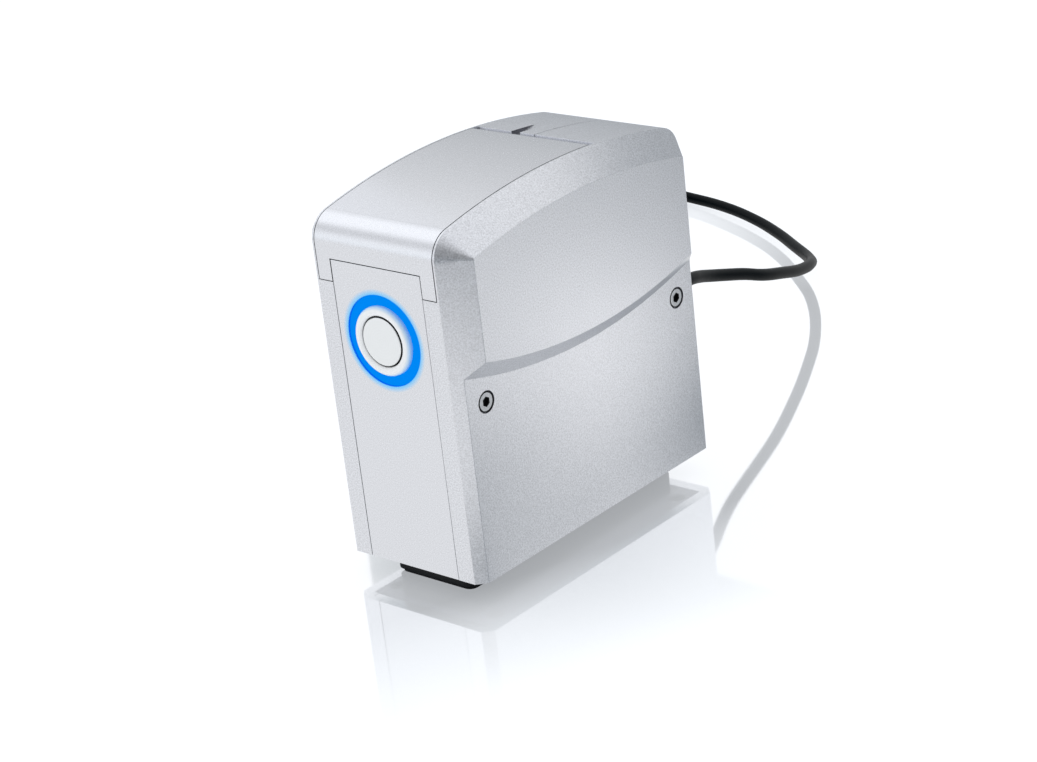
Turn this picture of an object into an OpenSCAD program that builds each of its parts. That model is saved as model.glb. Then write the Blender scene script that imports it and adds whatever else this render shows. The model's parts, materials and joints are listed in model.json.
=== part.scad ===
// Hand-held drop shape analyzer: aluminium housing, hinged lid, lit push button, optics,
// liquid dosing and a cable with its plug. Millimetres, +Z up, front at -Y, standing on z = 0.

/* [Housing] */
// Length of the housing from front face to back face
body_l = 126; // [120:1:134]
// Width of the flat front face between its chamfers
face_w = 53.5; // [52:0.5:64]
// Height of the highest point of the top
body_top = 135.6; // [130:0.2:160]
// Radius of the arched top
top_r = 255; // [220:5:400]
// Radius of the front and back top corners
corner_r = 9.5; // [9.2:0.1:14]
// Size of the chamfer round the upper field
field_chamfer = 8.75; // [6.5:0.05:9]
// How far the lower side panel stands out from the front face's edge
panel_step = 3.35; // [2.5:0.05:4.5]
// Height of the upper field's lower edge at mid-length
field_edge_z = 78.3; // [74:0.1:84]
// Radius of the upper field's lower edge
field_edge_r = 201; // [160:1:400]
// How far the ledge under the upper field drops
ledge_drop = 6.2; // [4:0.1:9]
// Thickness of the front and back walls
end_wall = 4.5; // [4:0.1:5]
// Thickness of the rear deck
deck_t = 4; // [3:0.1:5]
// Depth of the milled pocket inside each upper field
pocket_d = 6; // [2:0.5:6]
// Gap on the split line between the two shells
split_gap = 0.25; // [0.05:0.01:0.3]

/* [Lid] */
// Width of the shell's rim beside the lid
lid_rim = 0.9; // [0.6:0.05:1.5]
// Gap round the lid
lid_gap = 0.3; // [0.25:0.05:0.5]
// Wall of the lid
lid_t = 2.5; // [2:0.1:3]
// Distance from the middle to the lid's rear edge
lid_rear_y = 19.8; // [16:0.2:26]
// Height of the lid's legs below the top
leg_below_top = 27.7; // [24:0.1:32]
// Height of the lid's apron edge below the top
apron_below_top = 19.9; // [16:0.1:22]
// Radius of the bead along the lid's hinged edge
bead_r = 2.95; // [2.6:0.05:3.4]
// Radius of the hinge pins
hinge_pin_r = 1; // [0.8:0.05:1.2]
// Running clearance of the hinge pins in the lid, on the radius
hinge_clear = 0.05; // [0.03:0.01:0.1]
// Thickness of the cushion under the lid
cushion_t = 3; // [2:0.5:4]

/* [Front panel and button] */
// Width of the front panel's opening
panel_w = 39.46; // [37:0.1:40]
// Gap round the front panel
panel_gap = 0.15; // [0.1:0.05:0.3]
// Thickness of the front panel's face layer
panel_t = 2.5; // [2:0.1:3]
// Height of the button's centre below the top
button_below_top = 45.3; // [43:0.1:52]
// Outer radius of the light ring
ring_r = 15.6; // [14:0.1:17]
// Outer radius of the button's collar
collar_r = 12; // [11.5:0.1:13.5]
// Radius of the button's cap
cap_r = 8.3; // [7.5:0.1:9]
// How far the collar stands proud of the front face
collar_proud = 1.4; // [0.5:0.1:2]
// How far the light ring lies below the front face
ring_recess = 0.75; // [0.3:0.05:1]
// Travel of the button
button_travel = 1.2; // [0.8:0.1:1.5]

/* [Foot] */
// Height of the foot with its sole
foot_h = 8.8; // [8:0.1:12]
// Width of the foot
foot_w = 35; // [33:0.5:40]
// How far the foot stands back from the front and back faces
foot_inset = 7.8; // [5:0.1:10]
// Thickness of the rubber sole
sole_t = 1.5; // [1:0.1:2]
// How far the sole stands back from the foot's edge
sole_inset = 1.2; // [0.5:0.1:2]
// Width of the measuring window
window_w = 24; // [20:0.5:25]
// Length of the measuring window in the foot
window_l = 30; // [28:0.5:34]

/* [Frame] */
// Thickness of the base plate
base_t = 4; // [3:0.1:5]
// Height of the side screws
screw_z = 69.8; // [66:0.2:72]
// Distance of the side screws from the front and back faces
screw_inset = 12.4; // [11:0.1:14]
// Radius of the side screws' shank
screw_r = 2; // [1.5:0.1:2.5]
// Radius of the side screws' head
screw_head_r = 3.4; // [3.2:0.1:4]
// Height of the side screws' head
screw_head_h = 2.2; // [1.8:0.1:2.4]
// Thickness of the uprights along the housing
upright_t = 8; // [6:0.5:9]
// Width of the uprights' columns
column_w = 7; // [6:0.5:7]

/* [Dosing] */
// Radius of the liquid cartridges
cartridge_r = 10.5; // [9:0.1:11]
// Distance of the cartridges in front of the middle
cartridge_y = 27; // [26:0.5:30]
// Thickness of the cartridge tray
tray_t = 2.5; // [2:0.1:4]
// Distance between the two dosing nozzles
nozzle_pitch = 10; // [8:0.5:12]
// Radius of the dosing nozzles
nozzle_r = 0.9; // [0.5:0.05:1.2]
// Height of the nozzles' tips above the surface under test
nozzle_z = 14; // [13.5:0.5:18]

/* [Optics] */
// Size of the prisms' short faces
prism_s = 7; // [6:0.1:7]
// Width of the prisms
prism_w = 15.6; // [12:0.2:18]
// Outer radius of the lens barrel and the light tube
barrel_r = 8; // [7:0.1:8.4]
// Wall of the lens barrel and the light tube
barrel_t = 2; // [1:0.1:2.5]
// Thickness of the circuit boards
board_t = 1.6; // [1:0.1:2]

/* [Cable] */
// Diameter of the cable
cable_d = 4.8; // [4:0.1:5]
// Height of the cable's exit
cable_z = 56; // [52:1:60]
// Length of the strain relief outside the housing
relief_l = 20; // [16:1:24]

/* [Hidden] */
$fn = 64;
eps = 0.01;
past = 1;           // how far a cutter runs past the face that it cuts

// Colours
ALUMINIUM = "#d0d3d8";
STEEL = "#a9adb2";
BLACK = "#17191c";
WHITE = "#f4f4f2";
BLUE = "#1e90ff";
GLASS = "#cfe6ee";
BOARD = "#1f6b3a";
AMBER = "#c9a24a";

// Housing
front_y = -body_l / 2;
face_h = face_w / 2;
field_x = face_h + field_chamfer;
panel_x = face_h + panel_step;
arc_cz = body_top - top_r;
corner_y = body_l / 2 - corner_r;
corner_a = asin(corner_y / (top_r - corner_r));
corner_z = arc_cz + (top_r - corner_r) * cos(corner_a);
short_of_tangent = 3; // degrees that the top arc stops short of the corners
ledge_cz = field_edge_z + field_edge_r;
lid_half = face_h - lid_rim - lid_gap / 2;
bay_half = lid_half + lid_gap;
bay_y = body_l / 2 - end_wall;
fit = 0.2;          // clearance of what is dropped into the housing
snug = 0.1;         // clearance of a hole round what sits in it
pocket_inset = 15;
pocket_rise = 12;    // how far the pocket keeps above the field's lower edge
pocket_y = body_l / 2 - pocket_inset;
pocket_low = field_edge_z + pocket_rise;

// Lid
leg_z = body_top - leg_below_top;
apron_z = body_top - apron_below_top;
panel_h = panel_w / 2;
bead_drop = 3;      // depth of the hinge axis below the top
hinge_y = lid_rear_y - bead_drop;
hinge_z = arc_z(top_r - bead_drop, hinge_y);
deck_y = lid_rear_y + lid_gap;
skirt_t = 1.5;
skirt_d = 4.5;
skirt_lap = 0.5;    // how far the skirts reach into the lid's wall
hinge_pin_in = 6;   // length of a hinge pin in the lid
hinge_pin_out = 2.2; // length of a hinge pin in the shell
magnet_r = 2.5;
magnet_t = 1.6;
magnet_x = (panel_h + lid_half) / 2;
magnet_z = leg_z + 4.5;
tab_t = 2.4;        // thickness of the tabs that hold the catch magnets
tab_y = front_y + lid_t + lid_gap;
tab_drop = 3.6;     // how far the tabs reach below the lid's legs
tab_h = 13;
skirt_z = leg_z - tab_drop + tab_h + 2 * lid_gap;
notch_w = 3.9;      // finger notch in the deck behind the lid
notch_l = 12;
notch_d = 2.2;
notch_x = -8.45;

// Button
button_z = body_top - button_below_top;
ring_y = front_y + ring_recess;
collar_y = front_y - collar_proud;
collar_lip = 0.8;   // how far the collar's rim reaches over the light ring
barrel_out = collar_r - collar_lip;
ring_in = barrel_out + snug;
collar_dome = 1.4;   // height of the collar's domed face above its outer edge
collar_turn = 60;    // how far the dome turns in towards the cap, in degrees
cap_gap = 0.5;
cap_drop = 0.3;     // how far the cap lies below the collar's face
cap_edge = 0.2;
cap_y = collar_y + cap_drop;
flange_y = front_y + 2.9;
flange_r = cap_r + 1;
flange_gap = 0.3;   // room round the cap's flange inside the collar
flange_t = 1.5;
stem_r = 4;
collar_end = front_y + 10;
switch_y = collar_end - 1;
stem_end = switch_y - button_travel - cap_gap;
switch_r = 11;
switch_h = 6;
pin_x = 3;          // solder pins of the switch
pin_t = 1;
pin_w = 3;
pin_l = 3;
panel_back = front_y + end_wall;
flange_in = 4.2;    // how far the panel's rear flange reaches behind the shells
nut_r = 16.2;
nut_t = 3;
flange_top = leg_z - tab_drop - 0.6;
panel_boss_r = 2.5;
boss_rise = 16;     // height of the panel's lower bosses above the base plate
boss_below = 18;    // how far the panel's upper bosses lie below the side screws

// Frame
base_top = foot_h + base_t;
upright_y = body_l / 2 - screw_inset;
column_x = bay_half - column_w - 0.5;
tray_z = leg_z - 1.9;
pocket_high = tray_z + 12;
screw_clear = 0.2;
screw_in = 8;       // length of the side screws in the uprights
socket_r = 1.73;    // hexagon socket of the side screws
socket_d = 1.4;
head_edge = 0.3;
head_recess = 0.15;
boss_h = 13;        // height of the uprights' bosses for the side screws
boss_in = 3;        // how far those bosses reach in past the columns
sill_h = 6;         // height of the uprights' cross-piece on the base plate
thread_room = 1;    // how much deeper a threaded hole is than its screw
frame_screw_in = 8;
counterbore_gap = 0.42;
counterbore_d = screw_head_h + head_recess;
frame_screw_x = column_x + column_w / 2;
m3_r = 1.5;
m3_head_r = 2.9;
m3_head_h = 1.7;
foot_screw_x = foot_w / 2 - 4.5;
foot_screw_y = body_l / 2 - foot_inset - 9;
foot_round = 4;
sole_round = 3;
socket_depth = 0.6; // recess of the countersunk screws' heads
socket_half = 1;

// Dosing
cartridge_x = cartridge_r + 1.9;
cartridge_neck_r = 7;
cartridge_edge = 1;
cartridge_top = tray_z + tray_t + 8.5;
shoulder_h = 4;
mouth_r = 6;
mouth_h = 6;
needle_r = 1;
needle_h = 6;
tray_collar_h = 2.5;
tray_collar_t = 1.6;
dock_h = 10;
dock_top = screw_z + 6.2;
cap_edge_r = 8;
cap_round = 1;
flute_r = 0.8;
flute_out = 0.2;    // how far the flutes' centres lie outside the cap
cap_clear = 0.4;    // room between the caps and the lid's cushion
cushion_r = top_r - lid_t - cushion_t;
caps_top = arc_z(cushion_r, cartridge_y + cap_edge_r) - cap_clear;
bracket_rise = 15;
bracket_z = base_top + bracket_rise;
bracket_t = 4;
bracket_top = bracket_z + bracket_t;
manifold_rise = 14;
manifold_z = bracket_top + manifold_rise;
manifold_h = 12;
manifold_top = manifold_z + manifold_h;
valve_x = 7;
valve_w = 11;
valve_h = 22;
valve_l = 12;
valve_can_r = 5;
valve_can_h = 10;
tube_r = 1.5;
tube_z = dock_top - 6;
dock_back = -(cartridge_y - cartridge_r - 1.5);
valve_front = -8;
manifold_half = 13;
manifold_front = -9;
manifold_back = 6;
manifold_leg = 3.5;
nozzle_in = 6;      // length of the nozzles in the manifold
hub_r = 2.5;
hub_h = 5;
pump_x = -13;
pump_y = 18;
pump_r = 9;
pump_h = 18;
pump_flange_t = 3;
pump_head = 6;      // half width of the pump's head
pump_head_h = 5;
spigot_r = 1.6;
spigot_h = 4;

// Optics
prism_y = window_l / 2 + 0.3;
optic_y = prism_y + prism_s / 2;
prism_z = foot_h - 0.2;
barrel_z = base_top + 1.2;
camera_z = bracket_top + 12;
camera_h = 14;
camera_w = 22;
camera_board_rim = 1.5;
lens_r = 12;        // radius of the lens's faces
lens_sag = 3;       // half thickness of the lens
lens_up = 6;
bracket_half = bay_half - 3;
bracket_front = -optic_y - barrel_r - 2.2;
bracket_back = optic_y + barrel_r + 0.7;
bracket_slot = 4;   // room round the nozzles in the bracket
pillar_r = 3;
pillar_in = 3.5;
light_board_half = 10;
light_board_rim = 0.5;
lamp_r = 2.5;
lamp_h = 2;
diffuser_t = 2;
diffuser_up = 1;

// Mainboard
standoff_r = 2.8;
standoff_l = 2.8;
board_y = upright_y - upright_t / 2 - standoff_l - board_t;
board_rim = 6;      // distance of the board's holes from its lower and upper edges
board_w = 2 * (frame_screw_x + 3);
board_low = cable_z - board_rim;
board_top = tray_z - 2;
board_hole_z = [board_low + board_rim, board_top - board_rim];
board_head_r = 2.6;
board_head_h = 1.8;
board_screw_in = standoff_l - snug;
socket_w = 12;      // socket of the inner lead on the board's back
socket_h = 8;
socket_t = 2;
// Chips on the board: left edge, width, thickness, drop of the upper edge below the board's, height
chips = [[-8, 16, 2, 14, 16], [-17, 6, 1.2, 18, 10], [11, 5, 3, 16, 20]];

// Cable: the route's points after the strain relief, then the coil, then the points up to the plug
cable_r = cable_d / 2;
relief_end = body_l / 2 + relief_l;
relief_neck_r = 5;
relief_flange_r = 7.5;
relief_flange_t = 2;
relief_ribs = 4;
relief_base_r = relief_neck_r + 1;
relief_tip_r = cable_r + 0.9;
relief_plain = 3;   // length of the plain stretch before the first groove
relief_groove_d = 0.8;
relief_groove_w = 1.4;
relief_step = (relief_l - relief_plain - 1) / relief_ribs;
lead_points = [[0, relief_end, cable_z], [0, relief_end + 8, cable_z], [-2.5, 100, 54.5],
  [-6, 110, 51.5], [-8.5, 120, 48], [-10, 132, 44], [-11, 144, 40], [-12, 157, 35],
  [-16, 175, 29], [-22.5, 196, 22], [-32, 217, 16],
  [-46, 236, 10], [-65, 252.5, 7], [-85, 267.5, 5.5], [-107, 280, 5], [-130, 289.5, 4.5],
  [-154, 296, 3.6], [-172, 298.5, 3.4], [-180, 298.5, 3.4], [-185, 298.5, 3.4]];
tail_points = [[-195, 298.5, 8.8], [-200, 298.5, 8.8], [-208, 297, 8.5], [-217, 293, 7.6],
  [-225, 287, 6.5], [-231.5, 279, 5.2], [-235.5, 271, 4.5], [-237, 264, 4.5], [-237, 259, 4.5]];
coil_x = -190;
coil_y = 260;
coil_out = 38.5;
coil_z = 3.4;
coil_pitch = 5.4;
coil_turns = 3.75;
coil_rings = 24;
coil_straight = 5;
plug_x = -237;
plug_y = 259;
plug_z = 4.5;
plug_w = 16;
plug_h = 8.4;
plug_l = 28;
plug_neck_l = 6;
plug_body_y = plug_y - plug_neck_l;
plug_front = plug_body_y - plug_l;
plug_neck_r = 3.6;
plug_round = 2;
shell_w = 12;
shell_h = 4.5;
shell_l = 18;
shell_t = 0.4;
shell_round = 0.8;
key_x = 1.9;        // catch windows of the plug's shell
key_w = 2.2;
key_l = 2.4;
key_y = 9.6;
tongue_w = 10.6;
tongue_t = 1.8;
tie_w = 4;
tie_t = 0.6;
tie_gap = 0.3;
tie_round = 1.2;
tie_angle = 250;

// Height of an arc about the top's centre at a distance y from the middle
function arc_z(r, y) = arc_cz + sqrt(r * r - y * y);

coil_start = 90;    // angle at which the lead runs into the coil
// Coil: in at a steady rate, up a layer in half a turn, and out again
function coil_radius(t) =
  coil_out - coil_pitch * (t < coil_turns + 0.25 ? t : 2 * coil_turns + 0.5 - t);
function coil_height(t) =
  coil_z + coil_pitch * min(1, max(0, (t - coil_turns) / 0.5));
function coil_point(t) =
  let (r = coil_radius(t), a = coil_start + 360 * t)
    [coil_x + r * cos(a), coil_y + r * sin(a), coil_height(t)];
coil_end = 2 * coil_turns + 0.5;
coil_path = concat(
  [[coil_x + coil_straight, coil_y + coil_out, coil_z]],
  [for (i = [0 : coil_rings * coil_end]) coil_point(i / coil_rings)],
  [[coil_x - coil_straight, coil_y + coil_out, coil_z + coil_pitch]]);
function path_length(p) = len(p) < 2 ? 0 : sum([for (i = [1 : len(p) - 1]) norm(p[i] - p[i - 1])]);
function sum(v, i = 0) = i < len(v) ? v[i] + sum(v, i + 1) : 0;
function least_gap(p, apart) = min([for (i = [0 : len(p) - 1 - apart])
  min([for (j = [i + apart : len(p) - 1]) norm(p[i] - p[j])])]) - cable_d;
echo(coil_least_gap = least_gap(coil_path, coil_rings / 2));
echo(cable_length = path_length(lead_points) + path_length(coil_path) + path_length(tail_points));

// Rings of a tube along a path, and the closed surface through them
function unit(v) = v / norm(v);
function heading(p, i) = unit(p[min(i + 1, len(p) - 1)] - p[max(i - 1, 0)]);
function side_of(h) = unit(cross(h, [0, 0, 1]));
function ring_at(p, i, r, sides) = let (h = heading(p, i), s = side_of(h), u = cross(s, h))
  [for (k = [0 : sides - 1]) p[i] + r * (cos(360 * k / sides) * s + sin(360 * k / sides) * u)];
module tube(p, r, sides) {
  last = (len(p) - 1) * sides;
  polyhedron(
    [for (i = [0 : len(p) - 1]) each ring_at(p, i, r, sides)],
    concat(
      [for (i = [0 : len(p) - 2], k = [0 : sides - 1])
        each let (a = i * sides + k, b = i * sides + (k + 1) % sides)
          [[a, b, b + sides], [a, b + sides, a + sides]]],
      [for (k = [1 : sides - 2]) [0, k + 1, k]],
      [for (k = [1 : sides - 2]) [last, last + k, last + k + 1]]));
}

// Shapes along an axis
module along_x(r, x0, x1, y, z) {
  translate([x0, y, z]) rotate([0, 90, 0]) cylinder(h = x1 - x0, r = r);
}
module along_y(r, y0, y1, x, z, sides = 64) {
  translate([x, y0, z]) rotate([-90, 0, 0]) cylinder(h = y1 - y0, r = r, $fn = sides);
}
module block(x0, x1, y0, y1, z0, z1) {
  translate([x0, y0, z0]) cube([x1 - x0, y1 - y0, z1 - z0]);
}
module both_sides() {
  children();
  mirror([1, 0, 0]) children();
}
module both_ends() {
  children();
  mirror([0, 1, 0]) children();
}
module rounded(w, l, r) {
  square([w - 2 * r, l], center = true);
  square([w, l - 2 * r], center = true);
  for (sx = [-1, 1], sy = [-1, 1])
    translate([sx * (w / 2 - r), sy * (l / 2 - r)]) circle(r);
}
// Countersunk M3 screw whose head's flat lies at z = 0, pointing up
module countersunk(l) {
  rotate_extrude() polygon([[0, socket_depth], [socket_half, socket_depth], [socket_half, 0], [m3_head_r, 0],
                            [m3_r, m3_head_h], [m3_r, l], [0, l]]);
}

// The housing's side view, set in by a distance: an arched top with rounded corners
module outline(inset) {
  half = body_l / 2 - inset;
  lean = corner_a - short_of_tangent;
  far = 3 * corner_r;
  far_y = corner_y + far * sin(lean);
  far_z = corner_z + far * cos(lean);
  intersection() {
    union() {
      translate([-half, foot_h]) square([2 * half, corner_z - foot_h]);
      polygon([[-corner_y, foot_h], [corner_y, foot_h], [corner_y, corner_z], [far_y, far_z],
               [-far_y, far_z], [-corner_y, corner_z]]);
      for (side = [-1, 1]) translate([side * corner_y, corner_z]) circle(corner_r - inset);
    }
    translate([0, arc_cz]) circle(top_r - inset, $fn = 360);
  }
}
// What the rounded corners take off, with the chamfer running round them
module corner_cut() {
  low = corner_r - field_chamfer;
  high = 3 * corner_r;
  edge = field_x + past;
  both_ends() translate([0, -corner_y, corner_z]) rotate([0, 90, 0]) rotate([0, 0, 180 + corner_a])
    rotate_extrude(angle = 90 - corner_a)
      polygon([[low, field_x], [corner_r, face_h], [corner_r, -face_h], [low, -field_x],
               [low, -edge], [high, -edge], [high, edge], [low, edge]]);
}
// The housing's outer form: chamfered ends, a chamfered arched top and rounded corners
module body_form() {
  half = body_l / 2;
  end = half - field_chamfer;
  rim = top_r - field_chamfer;
  difference() {
    intersection() {
      translate([0, 0, foot_h]) linear_extrude(body_top + past - foot_h)
        polygon([[face_h, -half], [field_x, -end], [field_x, end], [face_h, half],
                 [-face_h, half], [-field_x, end], [-field_x, -end], [-face_h, -half]]);
      translate([0, 0, arc_cz]) rotate([0, 90, 0]) rotate_extrude($fn = 360)
        polygon([[0, -field_x], [rim, -field_x], [top_r, -face_h], [top_r, face_h], [rim, field_x],
                 [0, field_x]]);
    }
    corner_cut();
  }
}
// What is milled away below the upper field, on the +X side
module ledge_cut() {
  step = field_x - panel_x;
  slope = ledge_drop / step;
  low = field_edge_r + ledge_drop;
  out = panel_x + step + past;
  far = low + body_top;
  translate([0, 0, ledge_cz]) rotate([0, 90, 0])
    rotate_extrude($fn = 180)
      polygon([[low, panel_x], [low - slope * (step + past), out], [far, out], [far, panel_x]]);
}
// Everything within a distance of the top's centre line
module top_disc(r) {
  translate([0, 0, arc_cz]) rotate([0, 90, 0]) cylinder(h = 2 * field_x, r = r, center = true, $fn = 180);
}
// Room inside the housing
module bay() {
  intersection() {
    block(-bay_half, bay_half, -bay_y, bay_y, foot_h - past, body_top);
    top_disc(top_r - deck_t);
  }
}
module lid_opening() {
  block(-bay_half, bay_half, front_y - past, deck_y, leg_z - lid_gap, body_top + past);
}
module panel_opening() {
  wide = panel_h + flange_in + fit;
  block(-panel_h, panel_h, front_y - past, -bay_y + past, foot_h - past, body_top);
  block(-wide, wide, front_y + panel_t, -bay_y + past, foot_h - past, flange_top + fit);
}
module side_screw_cut() {
  along_x(screw_head_r + counterbore_gap, panel_x - counterbore_d, panel_x + past, upright_y, screw_z);
  along_x(screw_r + screw_clear, bay_half - past, panel_x, upright_y, screw_z);
}
module catch_tab() {
  z = leg_z - tab_drop;
  difference() {
    block(panel_h + lid_gap, bay_half + past, tab_y, tab_y + tab_t, z, z + tab_h);
    along_y(magnet_r, tab_y - past, tab_y + magnet_t, magnet_x, magnet_z);
  }
}
module shell() {
  difference() {
    body_form();
    block(-field_x - past, split_gap / 2, front_y - past, body_l / 2 + past, 0, body_top + past);
    ledge_cut();
    bay();
    lid_opening();
    panel_opening();
    block(bay_half - past, bay_half + pocket_d, -pocket_y, pocket_y, pocket_low, pocket_high);
    both_ends() side_screw_cut();
    along_y(relief_neck_r + snug, bay_y - past, body_l / 2 + past, 0, cable_z);
    along_x(hinge_pin_r, bay_half - past, bay_half + hinge_pin_out, hinge_y, hinge_z);
  }
  catch_tab();
}

// A flat profile in y and z, made solid from x0 to x1
module across(x0, x1) {
  translate([x0, 0, 0]) rotate([90, 0, 90]) linear_extrude(x1 - x0) children();
}
// A profile in radius and y, turned about a line along y
module turned_y(x, z) {
  translate([x, 0, z]) rotate([-90, 0, 0]) rotate_extrude() children();
}

module side_shell_right() {
  color(ALUMINIUM) shell();
}
module deck_notch() {
  z = arc_z(top_r, deck_y);
  across(notch_x - notch_w / 2, notch_x + notch_w / 2)
    polygon([[deck_y - past, z + past], [deck_y - past, z - notch_d], [deck_y, z - notch_d],
             [deck_y + notch_l, arc_z(top_r, deck_y + notch_l)], [deck_y + notch_l, z + past]]);
}
module side_shell_left() {
  color(ALUMINIUM) difference() {
    mirror([1, 0, 0]) shell();
    deck_notch();
  }
}

module front_panel() {
  half = panel_h - panel_gap;
  wide = panel_h + flange_in;
  color(ALUMINIUM) difference() {
    union() {
      block(-half, half, front_y, panel_back, foot_h, button_z + ring_r + panel_t);
      block(-half, half, front_y, front_y + panel_t, foot_h, apron_z - lid_gap);
      block(-wide, wide, front_y + panel_t, panel_back, foot_h, flange_top);
      both_sides() for (z = [base_top + boss_rise, screw_z - boss_below])
        along_y(panel_boss_r, panel_back - eps, -upright_y - upright_t / 2, column_x + panel_boss_r, z);
    }
    along_y(ring_r + snug, front_y - past, front_y + panel_t, 0, button_z);
    along_y(barrel_out + snug, front_y, panel_back + past, 0, button_z);
  }
}

// The lid's side view between two depths below the housing's surface, down to a height
module lid_wall(outer, inner, low) {
  intersection() {
    difference() {
      outline(outer);
      outline(inner);
    }
    translate([front_y - past, low]) square([hinge_y - front_y + past, body_top - low + past]);
  }
}
module lid() {
  wide = panel_h + panel_gap;
  color(ALUMINIUM) difference() {
    union() {
      difference() {
        across(-lid_half, lid_half) lid_wall(0, lid_t, leg_z);
        block(-wide, wide, front_y - past, -bay_y, leg_z - past, apron_z);
      }
      both_sides() across(lid_half - skirt_t, lid_half)
        lid_wall(lid_t - skirt_lap, lid_t + skirt_d, skirt_z);
      along_x(bead_r, -lid_half, lid_half, hinge_y, hinge_z);
    }
    both_sides() {
      along_x(hinge_pin_r + hinge_clear, lid_half - hinge_pin_in - fit, lid_half + past, hinge_y, hinge_z);
      along_y(magnet_r, front_y + lid_t - magnet_t, front_y + lid_t + past, magnet_x, magnet_z);
    }
  }
}
module lid_cushion() {
  half = cartridge_x + cap_edge_r;
  color(BLACK) difference() {
    intersection() {
      block(-half, half, -cartridge_y - cap_edge_r, -cartridge_y + cap_edge_r, apron_z, body_top);
      top_disc(top_r - lid_t);
    }
    top_disc(cushion_r);
  }
}
module lid_magnets() {
  color(STEEL) both_sides()
    along_y(magnet_r, front_y + lid_t - magnet_t, front_y + lid_t, magnet_x, magnet_z);
}
module catch_magnets() {
  color(STEEL) both_sides() along_y(magnet_r, tab_y, tab_y + magnet_t, magnet_x, magnet_z);
}
module hinge_pins() {
  color(STEEL) both_sides()
    along_x(hinge_pin_r, lid_half - hinge_pin_in, bay_half + hinge_pin_out, hinge_y, hinge_z);
}

// Low cap-head screw whose head stands on z = 0, with a hexagon socket
module cap_screw(l) {
  difference() {
    union() {
      cylinder(h = screw_head_h - head_edge, r = screw_head_r);
      translate([0, 0, screw_head_h - head_edge])
        cylinder(h = head_edge, r1 = screw_head_r, r2 = screw_head_r - head_edge);
      translate([0, 0, -l]) cylinder(h = l + eps, r = screw_r);
    }
    translate([0, 0, screw_head_h - socket_d]) cylinder(h = socket_d + past, r = socket_r, $fn = 6);
  }
}
module side_screws() {
  color(STEEL) both_sides() both_ends()
    translate([panel_x - counterbore_d, upright_y, screw_z]) rotate([0, 90, 0])
      cap_screw(panel_x - counterbore_d - bay_half + screw_in);
}

module at_foot_screws() {
  both_sides() both_ends() translate([foot_screw_x, foot_screw_y, sole_t]) children();
}
module at_frame_screws() {
  both_sides() both_ends() translate([frame_screw_x, upright_y, foot_h]) children();
}
module countersink(l) {
  translate([0, 0, -past]) cylinder(h = past, r = m3_head_r + snug);
  cylinder(h = m3_head_h, r1 = m3_head_r + snug, r2 = m3_r + snug);
  cylinder(h = l, r = m3_r + snug);
}
module base_plate() {
  window = optic_y + barrel_r;
  color(BLACK) difference() {
    block(-bay_half + fit, bay_half - fit, -bay_y + fit, bay_y - fit, foot_h, base_top);
    block(-window_w / 2, window_w / 2, -window, window, foot_h - past, base_top + past);
    at_foot_screws() cylinder(h = base_top, r = m3_r);
    at_frame_screws() countersink(base_t + past);
  }
}
module prism_seat() {
  low = prism_z - prism_s;
  up = past + fit;
  front = window_l / 2 - past;
  across(-prism_w / 2 - snug, prism_w / 2 + snug)
    polygon([[front, low], [prism_y, low], [prism_y + prism_s + up, prism_z + up], [front, prism_z + up]]);
}
module foot_block() {
  color(BLACK) difference() {
    translate([0, 0, sole_t]) linear_extrude(foot_h - sole_t) difference() {
      rounded(foot_w, body_l - 2 * foot_inset, foot_round);
      square([window_w, window_l], center = true);
    }
    both_ends() prism_seat();
    at_foot_screws() countersink(foot_h);
  }
}
module foot_sole() {
  color(BLACK) linear_extrude(sole_t) difference() {
    rounded(foot_w - 2 * sole_inset, body_l - 2 * foot_inset - 2 * sole_inset, sole_round);
    square([window_w, window_l], center = true);
    both_sides() both_ends() translate([foot_screw_x, foot_screw_y]) circle(m3_head_r + 3 * snug);
  }
}
module foot_screws() {
  color(STEEL) at_foot_screws() countersunk(base_top - sole_t - 5 * snug);
}

module upright() {
  y0 = upright_y - upright_t / 2;
  y1 = upright_y + upright_t / 2;
  difference() {
    union() {
      both_sides() {
        block(column_x, column_x + column_w, y0, y1, base_top, tray_z);
        block(column_x - boss_in, bay_half, y0, y1, screw_z - boss_h / 2, screw_z + boss_h / 2);
      }
      block(-column_x - eps, column_x + eps, y0, y1, base_top, base_top + sill_h);
    }
    both_sides() along_x(screw_r, bay_half - screw_in - thread_room, bay_half + past, upright_y, screw_z);
    at_frame_screws() cylinder(h = base_t + frame_screw_in + thread_room, r = m3_r);
  }
}
module front_upright() {
  color(ALUMINIUM) mirror([0, 1, 0]) upright();
}
module rear_upright() {
  color(ALUMINIUM) upright();
}
module frame_screws() {
  color(STEEL) at_frame_screws() countersunk(base_t + frame_screw_in);
}

module at_cartridges() {
  both_sides() translate([cartridge_x, -cartridge_y, 0]) children();
}
module cartridge_tray() {
  h = tray_t + tray_collar_h;
  color(WHITE) difference() {
    union() {
      block(-bay_half + fit, bay_half - fit, tab_y + tab_t + lid_gap, upright_y + upright_t / 2,
        tray_z, tray_z + tray_t);
      at_cartridges() translate([0, 0, tray_z]) cylinder(h = h, r = cartridge_r + tray_collar_t);
    }
    at_cartridges() translate([0, 0, tray_z - past]) cylinder(h = h + 2 * past, r = cartridge_r + fit);
  }
}
module cartridge() {
  difference() {
    rotate_extrude() polygon([[0, dock_top], [cartridge_r - cartridge_edge, dock_top],
      [cartridge_r, dock_top + cartridge_edge], [cartridge_r, cartridge_top - shoulder_h],
      [cartridge_neck_r, cartridge_top], [mouth_r, cartridge_top], [mouth_r, cartridge_top + mouth_h],
      [0, cartridge_top + mouth_h]]);
    translate([0, 0, dock_top - past]) cylinder(h = needle_h + 2 * past, r = needle_r + snug);
  }
}
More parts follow.
